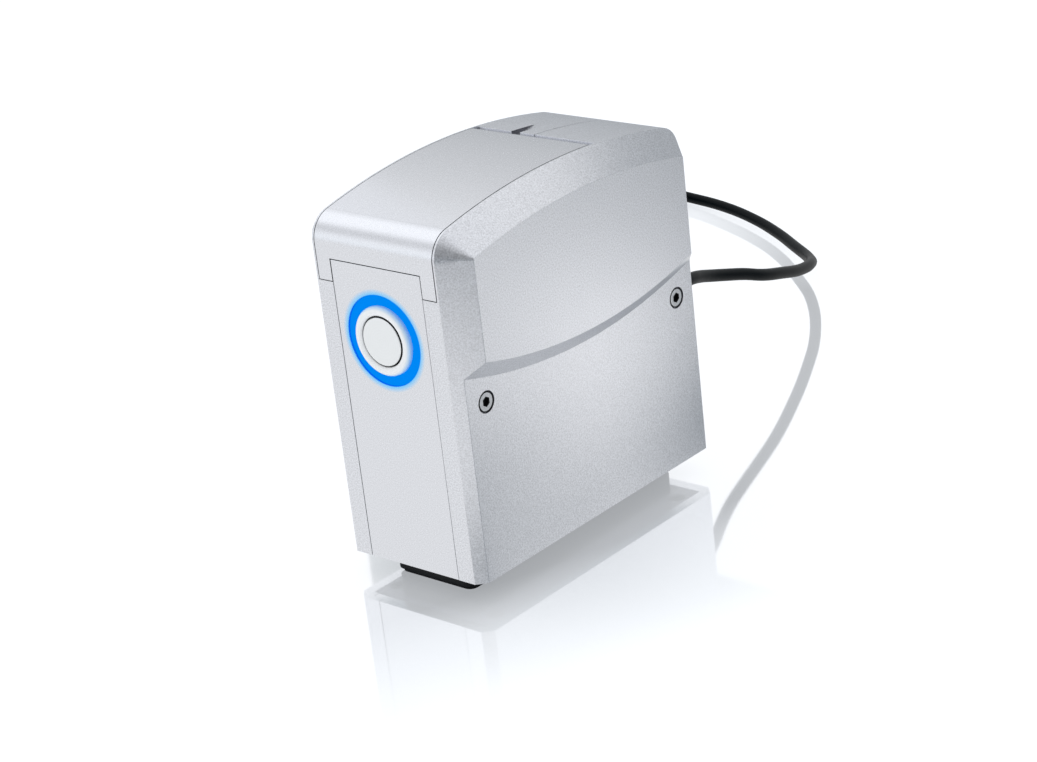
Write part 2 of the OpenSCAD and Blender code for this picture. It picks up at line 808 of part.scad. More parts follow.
module cartridge_right() {
  color(GLASS) translate([cartridge_x, -cartridge_y, 0]) cartridge();
}
module cartridge_left() {
  color(AMBER) translate([-cartridge_x, -cartridge_y, 0]) cartridge();
}
module cartridge_caps() {
  flutes = 16;
  color(BLUE) at_cartridges() difference() {
    rotate_extrude() polygon([[0, cartridge_top + mouth_h], [mouth_r, cartridge_top + mouth_h],
      [mouth_r, cartridge_top], [cap_edge_r, cartridge_top], [cap_edge_r, caps_top - cap_round],
      [cap_edge_r - cap_round, caps_top], [0, caps_top]]);
    for (i = [0 : flutes - 1])
      rotate([0, 0, 360 * i / flutes]) translate([cap_edge_r + flute_out, 0, cartridge_top + cap_round])
        cylinder(h = caps_top, r = flute_r, $fn = 24);
  }
}
module cartridge_dock() {
  half = cartridge_x + cartridge_r;
  color(WHITE) {
    block(-half, half, -upright_y + upright_t / 2, dock_back, dock_top - dock_h, dock_top);
    at_cartridges() translate([0, 0, dock_top - eps]) cylinder(h = needle_h, r = needle_r);
  }
}
module dosing_tubes() {
  color(GLASS) both_sides() along_y(tube_r, dock_back, valve_front, valve_x, tube_z);
}
module dosing_valves() {
  top = manifold_top + valve_h;
  color(STEEL) both_sides() {
    block(valve_x - valve_w / 2, valve_x + valve_w / 2, valve_front, valve_front + valve_l,
          manifold_top, top);
    translate([valve_x, valve_front + valve_l / 2, top - eps]) cylinder(h = valve_can_h, r = valve_can_r);
  }
}
module at_nozzles() {
  both_sides() translate([nozzle_pitch / 2, 0, 0]) children();
}
module dosing_manifold() {
  inner = manifold_half - manifold_leg;
  color(WHITE) difference() {
    union() {
      block(-manifold_half, manifold_half, manifold_front, manifold_back, manifold_z, manifold_top);
      both_sides() block(inner, manifold_half, manifold_front, manifold_back, bracket_top, manifold_z + eps);
    }
    at_nozzles() translate([0, 0, manifold_z - past]) cylinder(h = nozzle_in + past, r = nozzle_r);
  }
}
module dosing_nozzles() {
  color(STEEL) at_nozzles() {
    translate([0, 0, nozzle_z]) cylinder(h = manifold_z + nozzle_in - nozzle_z, r = nozzle_r);
    translate([0, 0, manifold_z - hub_h]) cylinder(h = hub_h, r = hub_r);
  }
}
// The pump hangs from the cartridge tray
module air_pump() {
  can_top = tray_z - pump_flange_t;
  head_top = can_top - pump_h;
  color(STEEL) translate([pump_x, pump_y, 0]) {
    block(-pump_r, pump_r, -pump_r, pump_r, can_top - eps, tray_z);
    translate([0, 0, head_top]) cylinder(h = pump_h, r = pump_r);
    block(-pump_head, pump_head, -pump_head, pump_head, head_top - pump_head_h, head_top + eps);
    translate([0, 0, head_top - pump_head_h - spigot_h]) cylinder(h = spigot_h + eps, r = spigot_r);
  }
}

module optics_bracket() {
  slot = nozzle_pitch / 2 + bracket_slot;
  color(ALUMINIUM) {
    difference() {
      block(-bracket_half, bracket_half, bracket_front, bracket_back, bracket_z, bracket_top);
      both_ends() translate([0, optic_y, bracket_z - past]) cylinder(h = bracket_t + 2 * past, r = barrel_r);
      block(-slot, slot, -bracket_slot, bracket_slot, bracket_z - past, bracket_top + past);
    }
    for (y = [bracket_front + pillar_r, bracket_back - pillar_r])
      both_sides() translate([bracket_half - pillar_in, y, base_top])
        cylinder(h = bracket_z - base_top + eps, r = pillar_r);
  }
}
module prism() {
  across(-prism_w / 2, prism_w / 2)
    polygon([[prism_y, prism_z - prism_s], [prism_y + prism_s, prism_z], [prism_y, prism_z]]);
}
module camera_prism() {
  color(GLASS) prism();
}
module light_prism() {
  color(GLASS) mirror([0, 1, 0]) prism();
}
module sleeve(top) {
  difference() {
    translate([0, 0, barrel_z]) cylinder(h = top - barrel_z, r = barrel_r);
    translate([0, 0, barrel_z - past]) cylinder(h = top - barrel_z + 2 * past, r = barrel_r - barrel_t);
  }
}
module lens_barrel() {
  color(BLACK) translate([0, optic_y, 0]) sleeve(camera_z);
}
module camera_lens() {
  color(GLASS) translate([0, optic_y, barrel_z + lens_up]) intersection() {
    cylinder(h = 4 * lens_sag, r = barrel_r - barrel_t, center = true);
    translate([0, 0, lens_sag - lens_r]) sphere(lens_r);
    translate([0, 0, lens_r - lens_sag]) sphere(lens_r);
  }
}
module camera_body() {
  half = camera_w / 2;
  color(BLACK) block(-half, half, optic_y - half, optic_y + half, camera_z, camera_z + camera_h);
}
module camera_board() {
  half = camera_w / 2 + camera_board_rim;
  z = camera_z + camera_h;
  color(BOARD) block(-half, half, optic_y - half, optic_y + half, z, z + board_t);
}
module light_tube() {
  color(BLACK) translate([0, -optic_y, 0]) sleeve(bracket_top);
}
module light_diffuser() {
  color(WHITE) translate([0, -optic_y, barrel_z + diffuser_up])
    cylinder(h = diffuser_t, r = barrel_r - barrel_t);
}
module light_board() {
  color(BOARD) {
    block(-light_board_half, light_board_half, -optic_y - barrel_r, -optic_y + barrel_r - light_board_rim,
      bracket_top, bracket_top + board_t);
    translate([0, -optic_y, bracket_top - lamp_h]) cylinder(h = lamp_h + eps, r = lamp_r);
  }
}

module at_board_holes() {
  both_sides() for (z = board_hole_z) translate([frame_screw_x, 0, z]) children();
}
module mainboard() {
  back = board_y + board_t;
  color(BOARD) difference() {
    union() {
      block(-board_w / 2, board_w / 2, board_y, back, board_low, board_top);
      for (c = chips)
        block(c[0], c[0] + c[1], board_y - c[2], board_y + eps, board_top - c[3] - c[4], board_top - c[3]);
      block(-socket_w / 2, socket_w / 2, back - eps, back + socket_t,
        cable_z - socket_h / 2, cable_z + socket_h / 2);
    }
    at_board_holes() along_y(m3_r + snug, board_y - past, back + past, 0, 0);
  }
}
module board_standoffs() {
  color(STEEL) at_board_holes() difference() {
    along_y(standoff_r, board_y + board_t, upright_y - upright_t / 2, 0, 0);
    along_y(m3_r, board_y, upright_y, 0, 0);
  }
}
module board_screws() {
  color(STEEL) at_board_holes() {
    along_y(board_head_r, board_y - board_head_h, board_y, 0, 0);
    along_y(m3_r, board_y - eps, board_y + board_t + board_screw_in, 0, 0);
  }
}
module inner_lead() {
  color(BLACK) along_y(cable_r, board_y + board_t + socket_t, bay_y - relief_flange_t, 0, cable_z);
}

module button_light_ring() {
  color(BLUE) turned_y(0, button_z)
    polygon([[ring_in, ring_y], [ring_r, ring_y], [ring_r, front_y + panel_t],
             [ring_in, front_y + panel_t]]);
}
module button_collar() {
  steps = 10;
  bore = cap_r + cap_gap;
  room = flange_r + flange_gap;
  crown = (bore + collar_r) / 2;
  half = crown - bore;
  color(WHITE) turned_y(0, button_z)
    polygon(concat(
      [for (i = [0 : steps]) let (a = -collar_turn + (90 + collar_turn) * i / steps)
        [crown + half * sin(a) / (a < 0 ? sin(collar_turn) : 1), collar_y + collar_dome * (1 - cos(a))]],
      [[collar_r, ring_y], [barrel_out, ring_y], [barrel_out, collar_end], [room, collar_end],
       [room, flange_y - flange_gap], [bore, flange_y - flange_gap]]));
}
module button_cap() {
  back = flange_y + flange_t;
  color(STEEL) turned_y(0, button_z)
    polygon([[0, cap_y], [cap_r - cap_edge, cap_y], [cap_r, cap_y + cap_edge], [cap_r, flange_y],
             [flange_r, flange_y], [flange_r, back], [stem_r, back], [stem_r, stem_end], [0, stem_end]]);
}
module button_nut() {
  color(STEEL) difference() {
    along_y(nut_r, panel_back, panel_back + nut_t, 0, button_z, 6);
    along_y(barrel_out, panel_back - past, panel_back + nut_t + past, 0, button_z);
  }
}
module button_switch() {
  spigot = flange_r + flange_gap - snug;
  back = collar_end + switch_h;
  color(BLACK) {
    turned_y(0, button_z)
      polygon([[0, switch_y], [spigot, switch_y], [spigot, collar_end], [switch_r, collar_end],
               [switch_r, back], [0, back]]);
    both_sides()
      block(pin_x, pin_x + pin_t, back - eps, back + pin_l, button_z - pin_w / 2, button_z + pin_w / 2);
  }
}

module strain_relief() {
  back = body_l / 2;
  fall = (relief_tip_r - relief_base_r) / relief_ribs;
  color(BLACK) turned_y(0, cable_z)
    polygon(concat(
      [[0, bay_y - relief_flange_t], [relief_flange_r, bay_y - relief_flange_t], [relief_flange_r, bay_y],
       [relief_neck_r, bay_y], [relief_neck_r, back], [relief_base_r, back]],
      [for (i = [0 : relief_ribs - 1])
        each let (y0 = back + relief_plain + i * relief_step, y1 = y0 + relief_groove_w,
                  r = relief_base_r + fall * (i + 0.5))
          [[r, y0], [r - relief_groove_d, y0], [r - relief_groove_d, y1], [r, y1]]],
      [[relief_tip_r, relief_end], [0, relief_end]]));
}
module cable_lead() {
  color(BLACK) tube(lead_points, cable_r, 8);
}
module cable_coil() {
  color(BLACK) tube(coil_path, cable_r, 6);
}
module cable_tail() {
  color(BLACK) tube(tail_points, cable_r, 8);
}
module cable_tie() {
  r0 = coil_radius(coil_turns + 0.25) - cable_r - tie_gap;
  r1 = coil_out + cable_r + tie_gap;
  z0 = coil_z - cable_r - tie_gap;
  z1 = coil_z + coil_pitch + cable_r + tie_gap;
  color(BLACK) translate([coil_x, coil_y, 0]) rotate([0, 0, tie_angle])
    translate([(r0 + r1) / 2, 0, (z0 + z1) / 2]) rotate([90, 0, 0]) linear_extrude(tie_w, center = true)
      difference() {
        rounded(r1 - r0 + 2 * tie_t, z1 - z0 + 2 * tie_t, tie_round);
        rounded(r1 - r0, z1 - z0, tie_round - tie_t);
      }
}

module plug_overmould() {
  color(BLACK) {
    along_y(plug_neck_r, plug_body_y - eps, plug_y, plug_x, plug_z);
    translate([plug_x, plug_body_y, plug_z]) rotate([90, 0, 0])
      linear_extrude(plug_l) rounded(plug_w, plug_h, plug_round);
  }
}
module plug_shell() {
  color(STEEL) translate([plug_x, plug_front, plug_z]) difference() {
    rotate([90, 0, 0]) linear_extrude(shell_l) difference() {
      rounded(shell_w, shell_h, shell_round);
      rounded(shell_w - 2 * shell_t, shell_h - 2 * shell_t, shell_round - shell_t);
    }
    both_sides() block(key_x, key_x + key_w, -key_y - key_l, -key_y, 0, shell_h);
  }
}
module plug_tongue() {
  low = shell_t - shell_h / 2;
  color(WHITE) translate([plug_x, plug_front, plug_z])
    block(-tongue_w / 2, tongue_w / 2, past - shell_l, 0, low, low + tongue_t);
}

side_shell_right();
side_shell_left();
front_panel();
lid();
lid_cushion();
lid_magnets();
catch_magnets();
hinge_pins();
side_screws();
base_plate();
foot_block();
foot_sole();
foot_screws();
front_upright();
rear_upright();
frame_screws();
cartridge_tray();
cartridge_left();
cartridge_right();
cartridge_caps();
cartridge_dock();
dosing_tubes();
dosing_valves();
dosing_manifold();
dosing_nozzles();
air_pump();
optics_bracket();
camera_prism();
light_prism();
lens_barrel();
camera_lens();
camera_body();
camera_board();
light_tube();
light_diffuser();
light_board();
mainboard();
board_standoffs();
board_screws();
inner_lead();
button_light_ring();
button_collar();
button_cap();
button_nut();
button_switch();
strain_relief();
cable_lead();
cable_coil();
cable_tail();
cable_tie();
plug_overmould();
plug_shell();
plug_tongue();
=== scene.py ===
"""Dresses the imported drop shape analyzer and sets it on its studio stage."""

import json
import math

import bpy
from bpy.props import FloatProperty, FloatVectorProperty, PointerProperty
from mathutils import Matrix, Vector

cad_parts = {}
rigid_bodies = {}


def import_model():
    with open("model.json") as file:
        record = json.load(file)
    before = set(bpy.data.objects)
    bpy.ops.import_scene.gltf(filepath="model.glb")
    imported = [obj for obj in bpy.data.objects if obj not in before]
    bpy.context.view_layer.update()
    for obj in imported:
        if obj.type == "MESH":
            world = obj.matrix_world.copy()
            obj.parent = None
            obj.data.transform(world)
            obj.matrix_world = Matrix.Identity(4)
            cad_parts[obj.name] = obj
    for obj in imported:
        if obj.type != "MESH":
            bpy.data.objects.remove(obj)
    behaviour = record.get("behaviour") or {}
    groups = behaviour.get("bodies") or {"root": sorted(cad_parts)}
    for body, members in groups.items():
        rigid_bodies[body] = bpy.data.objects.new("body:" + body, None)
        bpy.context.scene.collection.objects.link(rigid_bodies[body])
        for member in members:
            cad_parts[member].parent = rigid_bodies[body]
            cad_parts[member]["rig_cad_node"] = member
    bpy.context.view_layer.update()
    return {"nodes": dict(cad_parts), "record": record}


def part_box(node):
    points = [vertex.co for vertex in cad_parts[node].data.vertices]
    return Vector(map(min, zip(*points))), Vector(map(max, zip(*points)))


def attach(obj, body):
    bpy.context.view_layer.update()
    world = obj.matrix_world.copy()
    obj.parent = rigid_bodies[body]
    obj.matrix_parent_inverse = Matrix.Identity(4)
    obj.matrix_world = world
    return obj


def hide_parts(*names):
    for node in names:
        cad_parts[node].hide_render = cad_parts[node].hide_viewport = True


bl_info = {
    "name": "Drop Shape Analyzer",
    "version": (1, 0, 0),
    "blender": (4, 5, 0),
    "location": "View3D > Sidebar > Analyzer",
    "description": "Dresses the packed drop shape analyzer and sets its studio stage",
    "category": "Object",
}

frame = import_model()
RECORD = frame["record"]
SLOT_OF = {part["node"]: part["material_slot"] for part in RECORD["subparts"]}
BODY_OF = {
    node: body for body, nodes in RECORD["behaviour"]["bodies"].items() for node in nodes
}

MM = 0.001
SHARP = math.radians(30)
FLAT = math.radians(0.4)
RIGHT = (1.0, 0.0, 0.0)
BACK = (0.0, 1.0, 0.0)
UP = (0.0, 0.0, 1.0)

WHITE = "#ffffff"
ALUMINIUM = "#d9dbe0"
RING_BLUE = "#008af6"
# Painted glow: the light ring's blue, painted into the colour of the panel and the collar round it, and
# how strongly.
PAINTED_SPILL_BLUE = "#46c2ff"
PANEL_PAINTED_SPILL = 0.88
COLLAR_PAINTED_SPILL = 0.5
JACKET_BLACK = "#04090c"
CUTTER_STEP = 5.0265 * MM
FACING_STEP = 0.5 * MM

# The finger notch behind the lid, in millimetres: two corners of a box round it, and how far its side
# walls face sideways at least. Its side walls get painted shade.
NOTCH = ((-10.6, 20.0, 132.4), (-6.3, 32.2, 135.0))
NOTCH_WALL = 0.5

# The floor, which way its mirror fades, and the middle of the patch outside of which there is none.
FLOOR_SIZE = 12.0
FLOOR_OPAL = "#a6a7a8"
FLOOR_GLOW = "#f6faff"
FLOOR_POLISH = 0.05
FADE_WAY = (0.94, -0.34, 0.0)
FADE_REACH = (0.035, 0.11)
MIRROR_MIDDLE = (0.0, 0.06, 0.0)
MIRROR_REACH = (0.17, 0.3)

# The room, white from a height up, with lights and dark sides: the way to each, the cosines from that
# way at which it starts and is full, and what it multiplies the room's light by.
ROOM_DARK = "#e6e9eb"
ROOM_LIGHT = "#fcfdff"
ROOM_WHITE_FROM = 0.28
ROOM_STRENGTH = 1.04
ROOM_LIGHTS = (
    ((-0.63, -0.04, 0.775), (0.86, 0.96), 1.31),
    ((-0.63, -0.776, -0.02), (0.89, 0.97), 1.42),
    ((-0.63, -0.635, 0.446), (0.9, 0.98), 0.84),
    ((0.744, -0.659, 0.106), (0.5, 0.94), 0.3),
)

# The boards' grades: a way, two places along it and the tones there. A tone of 0 is dark and 1 white.
BOARD_DARK = "#5f6b74"
BOARD_LIGHT = 1.03
BACK_FOOT = (UP, (0.13, 0.19), (0.3, 0.6))
BACK_HEAD = (UP, (0.19, 0.35), (0.0, 0.36))
BACK_STEEP = (UP, (0.21, 0.275), (0.38, 1.05))
BACK_ACROSS = (RIGHT, (-0.06, 0.06), (0.0, 1.0))
FLOOR_GAIN = 2.4
FLOOR_LEFT = 0.98
FLOOR_ACROSS = (RIGHT, (0.01, 0.05), (0.0, 1.0))
FLOOR_END = ((0.68, -0.73, 0.0), (0.36, 0.43), (1.0, 0.0))
# On the right, painted shade of the floor as the object's reflections show it: dim by the object's base,
# bright further out, dim far out, behind and in front.
FLOOR_SHADES = (
    ((1.0, -0.2, 0.0), (0.055, 0.14), (0.3, 1.0)),
    ((1.0, 0.3, 0.0), (0.165, 0.215), (1.0, 1.2)),
    ((1.0, 0.3, 0.0), (0.21, 0.31), (1.0, 0.45)),
    ((-1.1, 1.0, 0.0), (-0.018, 0.045), (1.0, 0.15)),
    (BACK, (-0.09, -0.03), (0.58, 1.0)),
)
# A band of painted shade on the slant, with its half width and its depth, that grows stronger outwards.
BAND_WAY = (-1.1, 1.0, 0.0)
BAND_MIDDLE = -0.1
BAND_HALF = 0.08
BAND_DEPTH = 0.84
BAND_GROWTH = (RIGHT, (0.045, 0.11), (0.2, 1.0))
# A wedge of painted shade that opens from the object's front right corner, with the slopes of its soft
# sides.
CORNER = (0.03, -0.06, 0.0)
WEDGE = (0.4, 0.9)
# The painted shadow under the object: half its size, and how far outwards its rim runs.
FOOTPRINT = (0.031, 0.06, 0.0)
RIM = (-0.004, 0.006)

# The cable's route from the strain relief to the coil, and from the coil to the plug, in mm.
LEAD = [
    (0, 83, 56), (0, 91, 56), (-2.5, 100, 54.5), (-6, 110, 51.5), (-8.5, 120, 48),
    (-10, 132, 44), (-11, 144, 40), (-12, 157, 35), (-16, 175, 29), (-22.5, 196, 22),
    (-32, 217, 16), (-46, 236, 10), (-65, 252.5, 7), (-85, 267.5, 5.5), (-107, 280, 5),
    (-130, 289.5, 4.5), (-154, 296, 3.6), (-172, 298.5, 3.4), (-180, 298.5, 3.4),
    (-185, 298.5, 3.4),
]
TAIL = [
    (-195, 298.5, 8.8), (-200, 298.5, 8.8), (-208, 297, 8.5), (-217, 293, 7.6),
    (-225, 287, 6.5), (-231.5, 279, 5.2), (-235.5, 271, 4.5), (-237, 264, 4.5),
    (-237, 259, 4.5),
]
COIL_CENTRE = (-190, 260)
COIL_RADIUS = 38.5
COIL_HEIGHT = 3.4
COIL_PITCH = 5.4
COIL_TURNS = 3.75
COIL_CLIMB = 0.5
COIL_RINGS = 24

PLUG_CONTACTS = 4
CONTACT_PITCH = 2.3 * MM
CONTACT_INSET = 5 * MM
CONTACT_SIZE = (1.1 * MM, 7.5 * MM, 0.2 * MM)
CONTACT_EDGE = 0.06 * MM


def linear(code):
    """Turns an sRGB hex value to linear red, green, blue and alpha."""
    parts = [int(code[i:i + 2], 16) / 255 for i in (1, 3, 5)]
    return (*[c / 12.92 if c <= 0.04045 else ((c + 0.055) / 1.055) ** 2.4 for c in parts], 1.0)


def select_only(piece):
    """Deselects everything else and makes the piece active."""
    bpy.ops.object.select_all(action="DESELECT")
    piece.select_set(True)
    bpy.context.view_layer.objects.active = piece


def modify(piece, kind, **settings):
    """Adds a modifier with its settings and applies it."""
    select_only(piece)
    modifier = piece.modifiers.new(kind.title(), kind)
    for name, value in settings.items():
        setattr(modifier, name, value)
    bpy.ops.object.modifier_apply(modifier=modifier.name)


def copy_node(node, name):
    """Copies a CAD node into a piece of its own, with its triangles merged into whole faces."""
    piece = frame["nodes"][node].copy()
    piece.data = piece.data.copy()
    piece.name = name
    piece.pop("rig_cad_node", None)
    bpy.context.scene.collection.objects.link(piece)
    piece.parent = None
    piece.matrix_world = Matrix()
    select_only(piece)
    bpy.ops.mesh.customdata_custom_splitnormals_clear()
    bpy.ops.object.mode_set(mode="EDIT")
    bpy.ops.mesh.select_all(action="SELECT")
    bpy.ops.mesh.remove_doubles(threshold=0.001 * MM)
    bpy.ops.mesh.dissolve_limited(angle_limit=FLAT)
    bpy.ops.object.mode_set(mode="OBJECT")
    return piece


def place_piece(piece, nodes, finish=None):
    """Lets a piece stand for its nodes: on their body, in their finish."""
    slot = SLOT_OF[nodes[0]]
    piece.data.materials.clear()
    piece.data.materials.append(finish or finish_of(slot))
    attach(piece, BODY_OF[nodes[0]])
    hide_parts(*nodes)


def dress(node, edge, segments=2, finish=None):
    """Replaces a CAD node by a copy with broken edges, as a deburred or moulded part has."""
    piece = copy_node(node, node + "_dressed")
    modify(piece, "BEVEL", width=edge, segments=segments, limit_method="ANGLE", angle_limit=SHARP)
    select_only(piece)
    bpy.ops.object.shade_smooth_by_angle(angle=SHARP)
    modify(piece, "WEIGHTED_NORMAL", keep_sharp=True)
    place_piece(piece, [node], finish)
    return piece


def refinish(piece, slot, chosen):
    """Gives those faces of a piece that are chosen the finish of another slot."""
    piece.data.materials.append(finish_of(slot))
    for face in piece.data.polygons:
        if chosen(face):
            face.material_index = 1


def paint_flank_shade(piece, axis, depth, flat):
    """Paints shade on all of a piece but its flat faces that look out along an axis near its two ends:
    they get the black steel finish, as painted shade of the gap round them.
    """
    reach = max(abs(corner[axis]) for corner in piece.bound_box) - depth
    refinish(piece, "black_steel",
             lambda face: abs(face.normal[axis]) < flat or abs(face.center[axis]) < reach)


def in_notch(face):
    """Tells whether a face is one of the finger notch's two side walls, which get painted shade."""
    inside = all(low < at / MM < high for low, at, high in zip(NOTCH[0], face.center, NOTCH[1]))
    return inside and abs(face.normal.x) > NOTCH_WALL


def paint(*nodes):
    """Gives CAD nodes that stay the finish of their slot."""
    for node in nodes:
        for slot in frame["nodes"][node].material_slots:
            slot.link = "OBJECT"
            slot.material = finish_of(SLOT_OF[node])


def add_node(tree, kind, inputs, **settings):
    """Adds a node, sets it, and fills or links its inputs."""
    node = tree.nodes.new(kind)
    for name, value in settings.items():
        setattr(node, name, value)
    for name, value in inputs.items():
        if isinstance(value, bpy.types.NodeSocket):
            tree.links.new(value, node.inputs[name])
        else:
            node.inputs[name].default_value = value
    return node


def start_tree(made):
    """Empties the nodes of a new material or world and returns them."""
    made.use_nodes = True
    made.node_tree.nodes.clear()
    return made.node_tree


def start_material(name, inputs):
    """Starts a material: returns it with its nodes, its shader and the piece's own coordinates."""
    made = bpy.data.materials.new(name)
    tree = start_tree(made)
    shader = add_node(tree, "ShaderNodeBsdfPrincipled", inputs)
    add_node(tree, "ShaderNodeOutputMaterial", {"Surface": shader.outputs[0]})
    place = add_node(tree, "ShaderNodeTexCoord", {}).outputs["Object"]
    return made, tree, shader, place


def add_grain(tree, shader, pattern, roughness, depth, strength):
    """Lets a pattern between 0 and 1 vary a shader's roughness and raise its surface."""
    rough = add_node(tree, "ShaderNodeMapRange",
                     {"Value": pattern, "To Min": roughness[0], "To Max": roughness[1]})
    bump = add_node(tree, "ShaderNodeBump",
                    {"Height": pattern, "Distance": depth, "Strength": strength})
    tree.links.new(rough.outputs["Result"], shader.inputs["Roughness"])
    tree.links.new(bump.outputs["Normal"], shader.inputs["Normal"])


def add_tone(tree, shader, pattern, dark, light):
    """Lets a pattern between 0 and 1 mix a shader's colour from two."""
    tone = add_node(tree, "ShaderNodeMix", {0: pattern, 6: linear(dark), 7: linear(light)},
                    data_type="RGBA")
    tree.links.new(tone.outputs[2], shader.inputs["Base Color"])


def shade_along(tree, place, way, reach, tones):
    """Shades the places along a way: from the first tone to the second between two of them."""
    at = add_node(tree, "ShaderNodeVectorMath", {0: place, 1: way}, operation="DOT_PRODUCT")
    shade = add_node(tree, "ShaderNodeMapRange",
                     {"Value": at.outputs["Value"], "From Min": reach[0], "From Max": reach[1],
                      "To Min": tones[0], "To Max": tones[1]})
    return shade.outputs["Result"]


def dim(tree, tone, shades):
    """Dims a tone by one shade after another."""
    for shade in shades:
        tone = add_node(tree, "ShaderNodeMath", {0: tone, 1: shade}, operation="MULTIPLY").outputs[0]
    return tone


def blasted_aluminium(name="satin_aluminium", sparkle=1.8, roughness=(0.3, 0.4)):
    # Aluminium, bead-blasted and clear anodised: a pale satin sheen with a fine sparkle. The
    # blasted grain is about 0.1 mm and is drawn at 0.5 mm so that it shows.
    look = bpy.context.scene.analyzer.housing
    made, tree, shader, place = start_material(name, {"Metallic": 1.0})
    noise = add_node(tree, "ShaderNodeTexNoise",
                     {"Vector": place, "Scale": 1 / look.grain, "Detail": 2.0, "Roughness": 0.6})
    grain = add_node(tree, "ShaderNodeMapRange",
                     {"Value": noise.outputs[0], "From Min": 0.3, "From Max": 0.7}).outputs["Result"]
    dark = Vector(look.colour) * (1 - 0.12 * sparkle)
    light = Vector(look.colour) * (1 + 0.1 * sparkle)
    tone = add_node(tree, "ShaderNodeMix", {0: grain, 6: (*dark, 1.0), 7: (*light, 1.0)},
                    data_type="RGBA")
    tree.links.new(tone.outputs[2], shader.inputs["Base Color"])
    add_grain(tree, shader, grain, roughness, 0.03 * MM, 0.3 * sparkle)
    return made


def fine_aluminium(name="satin_aluminium_fine"):
    # The same aluminium on the lid and the front panel, blasted with a finer grit.
    return blasted_aluminium(name, 0.6, (0.22, 0.28))


def button_reach(tree, place):
    """The distance from the button's axis."""
    low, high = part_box("button_cap")
    middle = [-(a + b) / 2 for a, b in zip(low, high)]
    flat = add_node(tree, "ShaderNodeMapping",
                    {"Vector": place, "Location": (middle[0], 0, middle[2]), "Scale": (1, 0, 1)})
    reach = add_node(tree, "ShaderNodeVectorMath", {0: flat.outputs[0]}, operation="LENGTH")
    return reach.outputs["Value"]


def radius_of(node):
    """The radius of a round node, by its width."""
    low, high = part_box(node)
    return (high[0] - low[0]) / 2


def add_painted_spill(made, start, end, strength):
    """Paints the light ring's glow into a material's colour as a blue tint, from one radius to another.
    """
    tree = made.node_tree
    shader = tree.nodes["Principled BSDF"]
    place = tree.nodes["Texture Coordinate"].outputs["Object"]
    spill = add_node(tree, "ShaderNodeMapRange",
                     {"Value": button_reach(tree, place), "From Min": start, "From Max": end,
                      "To Min": strength, "To Max": 0.0})
    plain = shader.inputs["Base Color"].links[0].from_socket
    tint = add_node(tree, "ShaderNodeMix", {0: spill.outputs["Result"], 6: plain, 7: linear(PAINTED_SPILL_BLUE)},
                    data_type="RGBA")
    tree.links.new(tint.outputs[2], shader.inputs["Base Color"])


def lit_panel():
    # The same blasted aluminium on the front panel, with the light ring's glow painted round the button
    # as a blue tint.
    made = fine_aluminium("satin_aluminium_painted_glow")
    radius = radius_of("button_light_ring")
    add_painted_spill(made, radius, radius + bpy.context.scene.analyzer.button.spill, PANEL_PAINTED_SPILL)
    return made


def milled_aluminium(name="plain_aluminium", dark="#bfc1c4", light="#cfd1d4", metallic=1.0):
    # Aluminium, milled: shallow slanting cutter marks, 5 mm apart along an edge. The wave pattern turns
    # ten times faster than its scale.
    made, tree, shader, place = start_material(name, {"Metallic": metallic})
    marks = add_node(tree, "ShaderNodeTexWave",
                     {"Vector": place, "Scale": math.tau / 10 / CUTTER_STEP, "Distortion": 1.5,
                      "Detail": 2.0},
                     bands_direction="DIAGONAL")
    add_tone(tree, shader, marks.outputs[1], dark, light)
    add_grain(tree, shader, marks.outputs[1], (0.28, 0.42), 0.02 * MM, 0.2)
    return made


def black_anodised():
    # Aluminium, milled and black anodised: a dark grey satin with the same cutter marks.
    return milled_aluminium("black_aluminium", "#56575f", "#62636c", 0.0)


def turned_steel():
    # Stainless steel, turned and bright: a tight highlight with faint uneven polish.
    made, tree, shader, place = start_material("bright_steel", {"Metallic": 1.0})
    polish = add_node(tree, "ShaderNodeTexNoise",
                      {"Vector": place, "Scale": 1 / (0.8 * MM), "Detail": 4.0})
    add_tone(tree, shader, polish.outputs[0], "#a9acb0", "#c9ccd0")
    add_grain(tree, shader, polish.outputs[0], (0.16, 0.32), 0.01 * MM, 0.15)
    return made


def blackened_steel():
    # Steel, black oxide: a dull black with a faint oily sheen.
    made, tree, shader, place = start_material("black_steel", {"Specular IOR Level": 0.25})
    sheen = add_node(tree, "ShaderNodeTexNoise",
                     {"Vector": place, "Scale": 1 / (0.8 * MM), "Detail": 3.0})
    add_tone(tree, shader, sheen.outputs[0], "#0b0c0d", "#151618")
    add_grain(tree, shader, sheen.outputs[0], (0.4, 0.55), 0.01 * MM, 0.15)
    return made


def faced_steel():
    # Stainless steel, faced on a lathe and fine blasted: rings 1 mm apart that hardly show.
    made, tree, shader, place = start_material("button_metal", {"Metallic": 1.0})
    ring = add_node(tree, "ShaderNodeMath", {0: button_reach(tree, place), 1: FACING_STEP},
                    operation="PINGPONG")
    rings = add_node(tree, "ShaderNodeMapRange", {"Value": ring.outputs[0], "From Max": FACING_STEP})
    add_tone(tree, shader, rings.outputs[0], "#e4e7e9", "#e6e9eb")
    add_grain(tree, shader, rings.outputs[0], (0.38, 0.41), 0.002 * MM, 0.05)
    return made


def lit_acrylic():
    # Acrylic, frosted and lit from behind by blue LEDs: an even saturated glow.
    look = bpy.context.scene.analyzer.button
    made, tree, shader, place = start_material(
        "light_ring",
        {"Roughness": 0.5, "Specular IOR Level": 0.0, "Emission Color": (*look.colour, 1.0)})
    frost = add_node(tree, "ShaderNodeTexNoise", {"Vector": place, "Scale": 1 / (0.6 * MM)})
    add_tone(tree, shader, frost.outputs[0], "#001d45", "#00265a")
    glow = add_node(tree, "ShaderNodeMapRange",
                    {"Value": frost.outputs[0], "To Min": look.glow * 0.94, "To Max": look.glow * 1.06})
    tree.links.new(glow.outputs["Result"], shader.inputs["Emission Strength"])
    return made


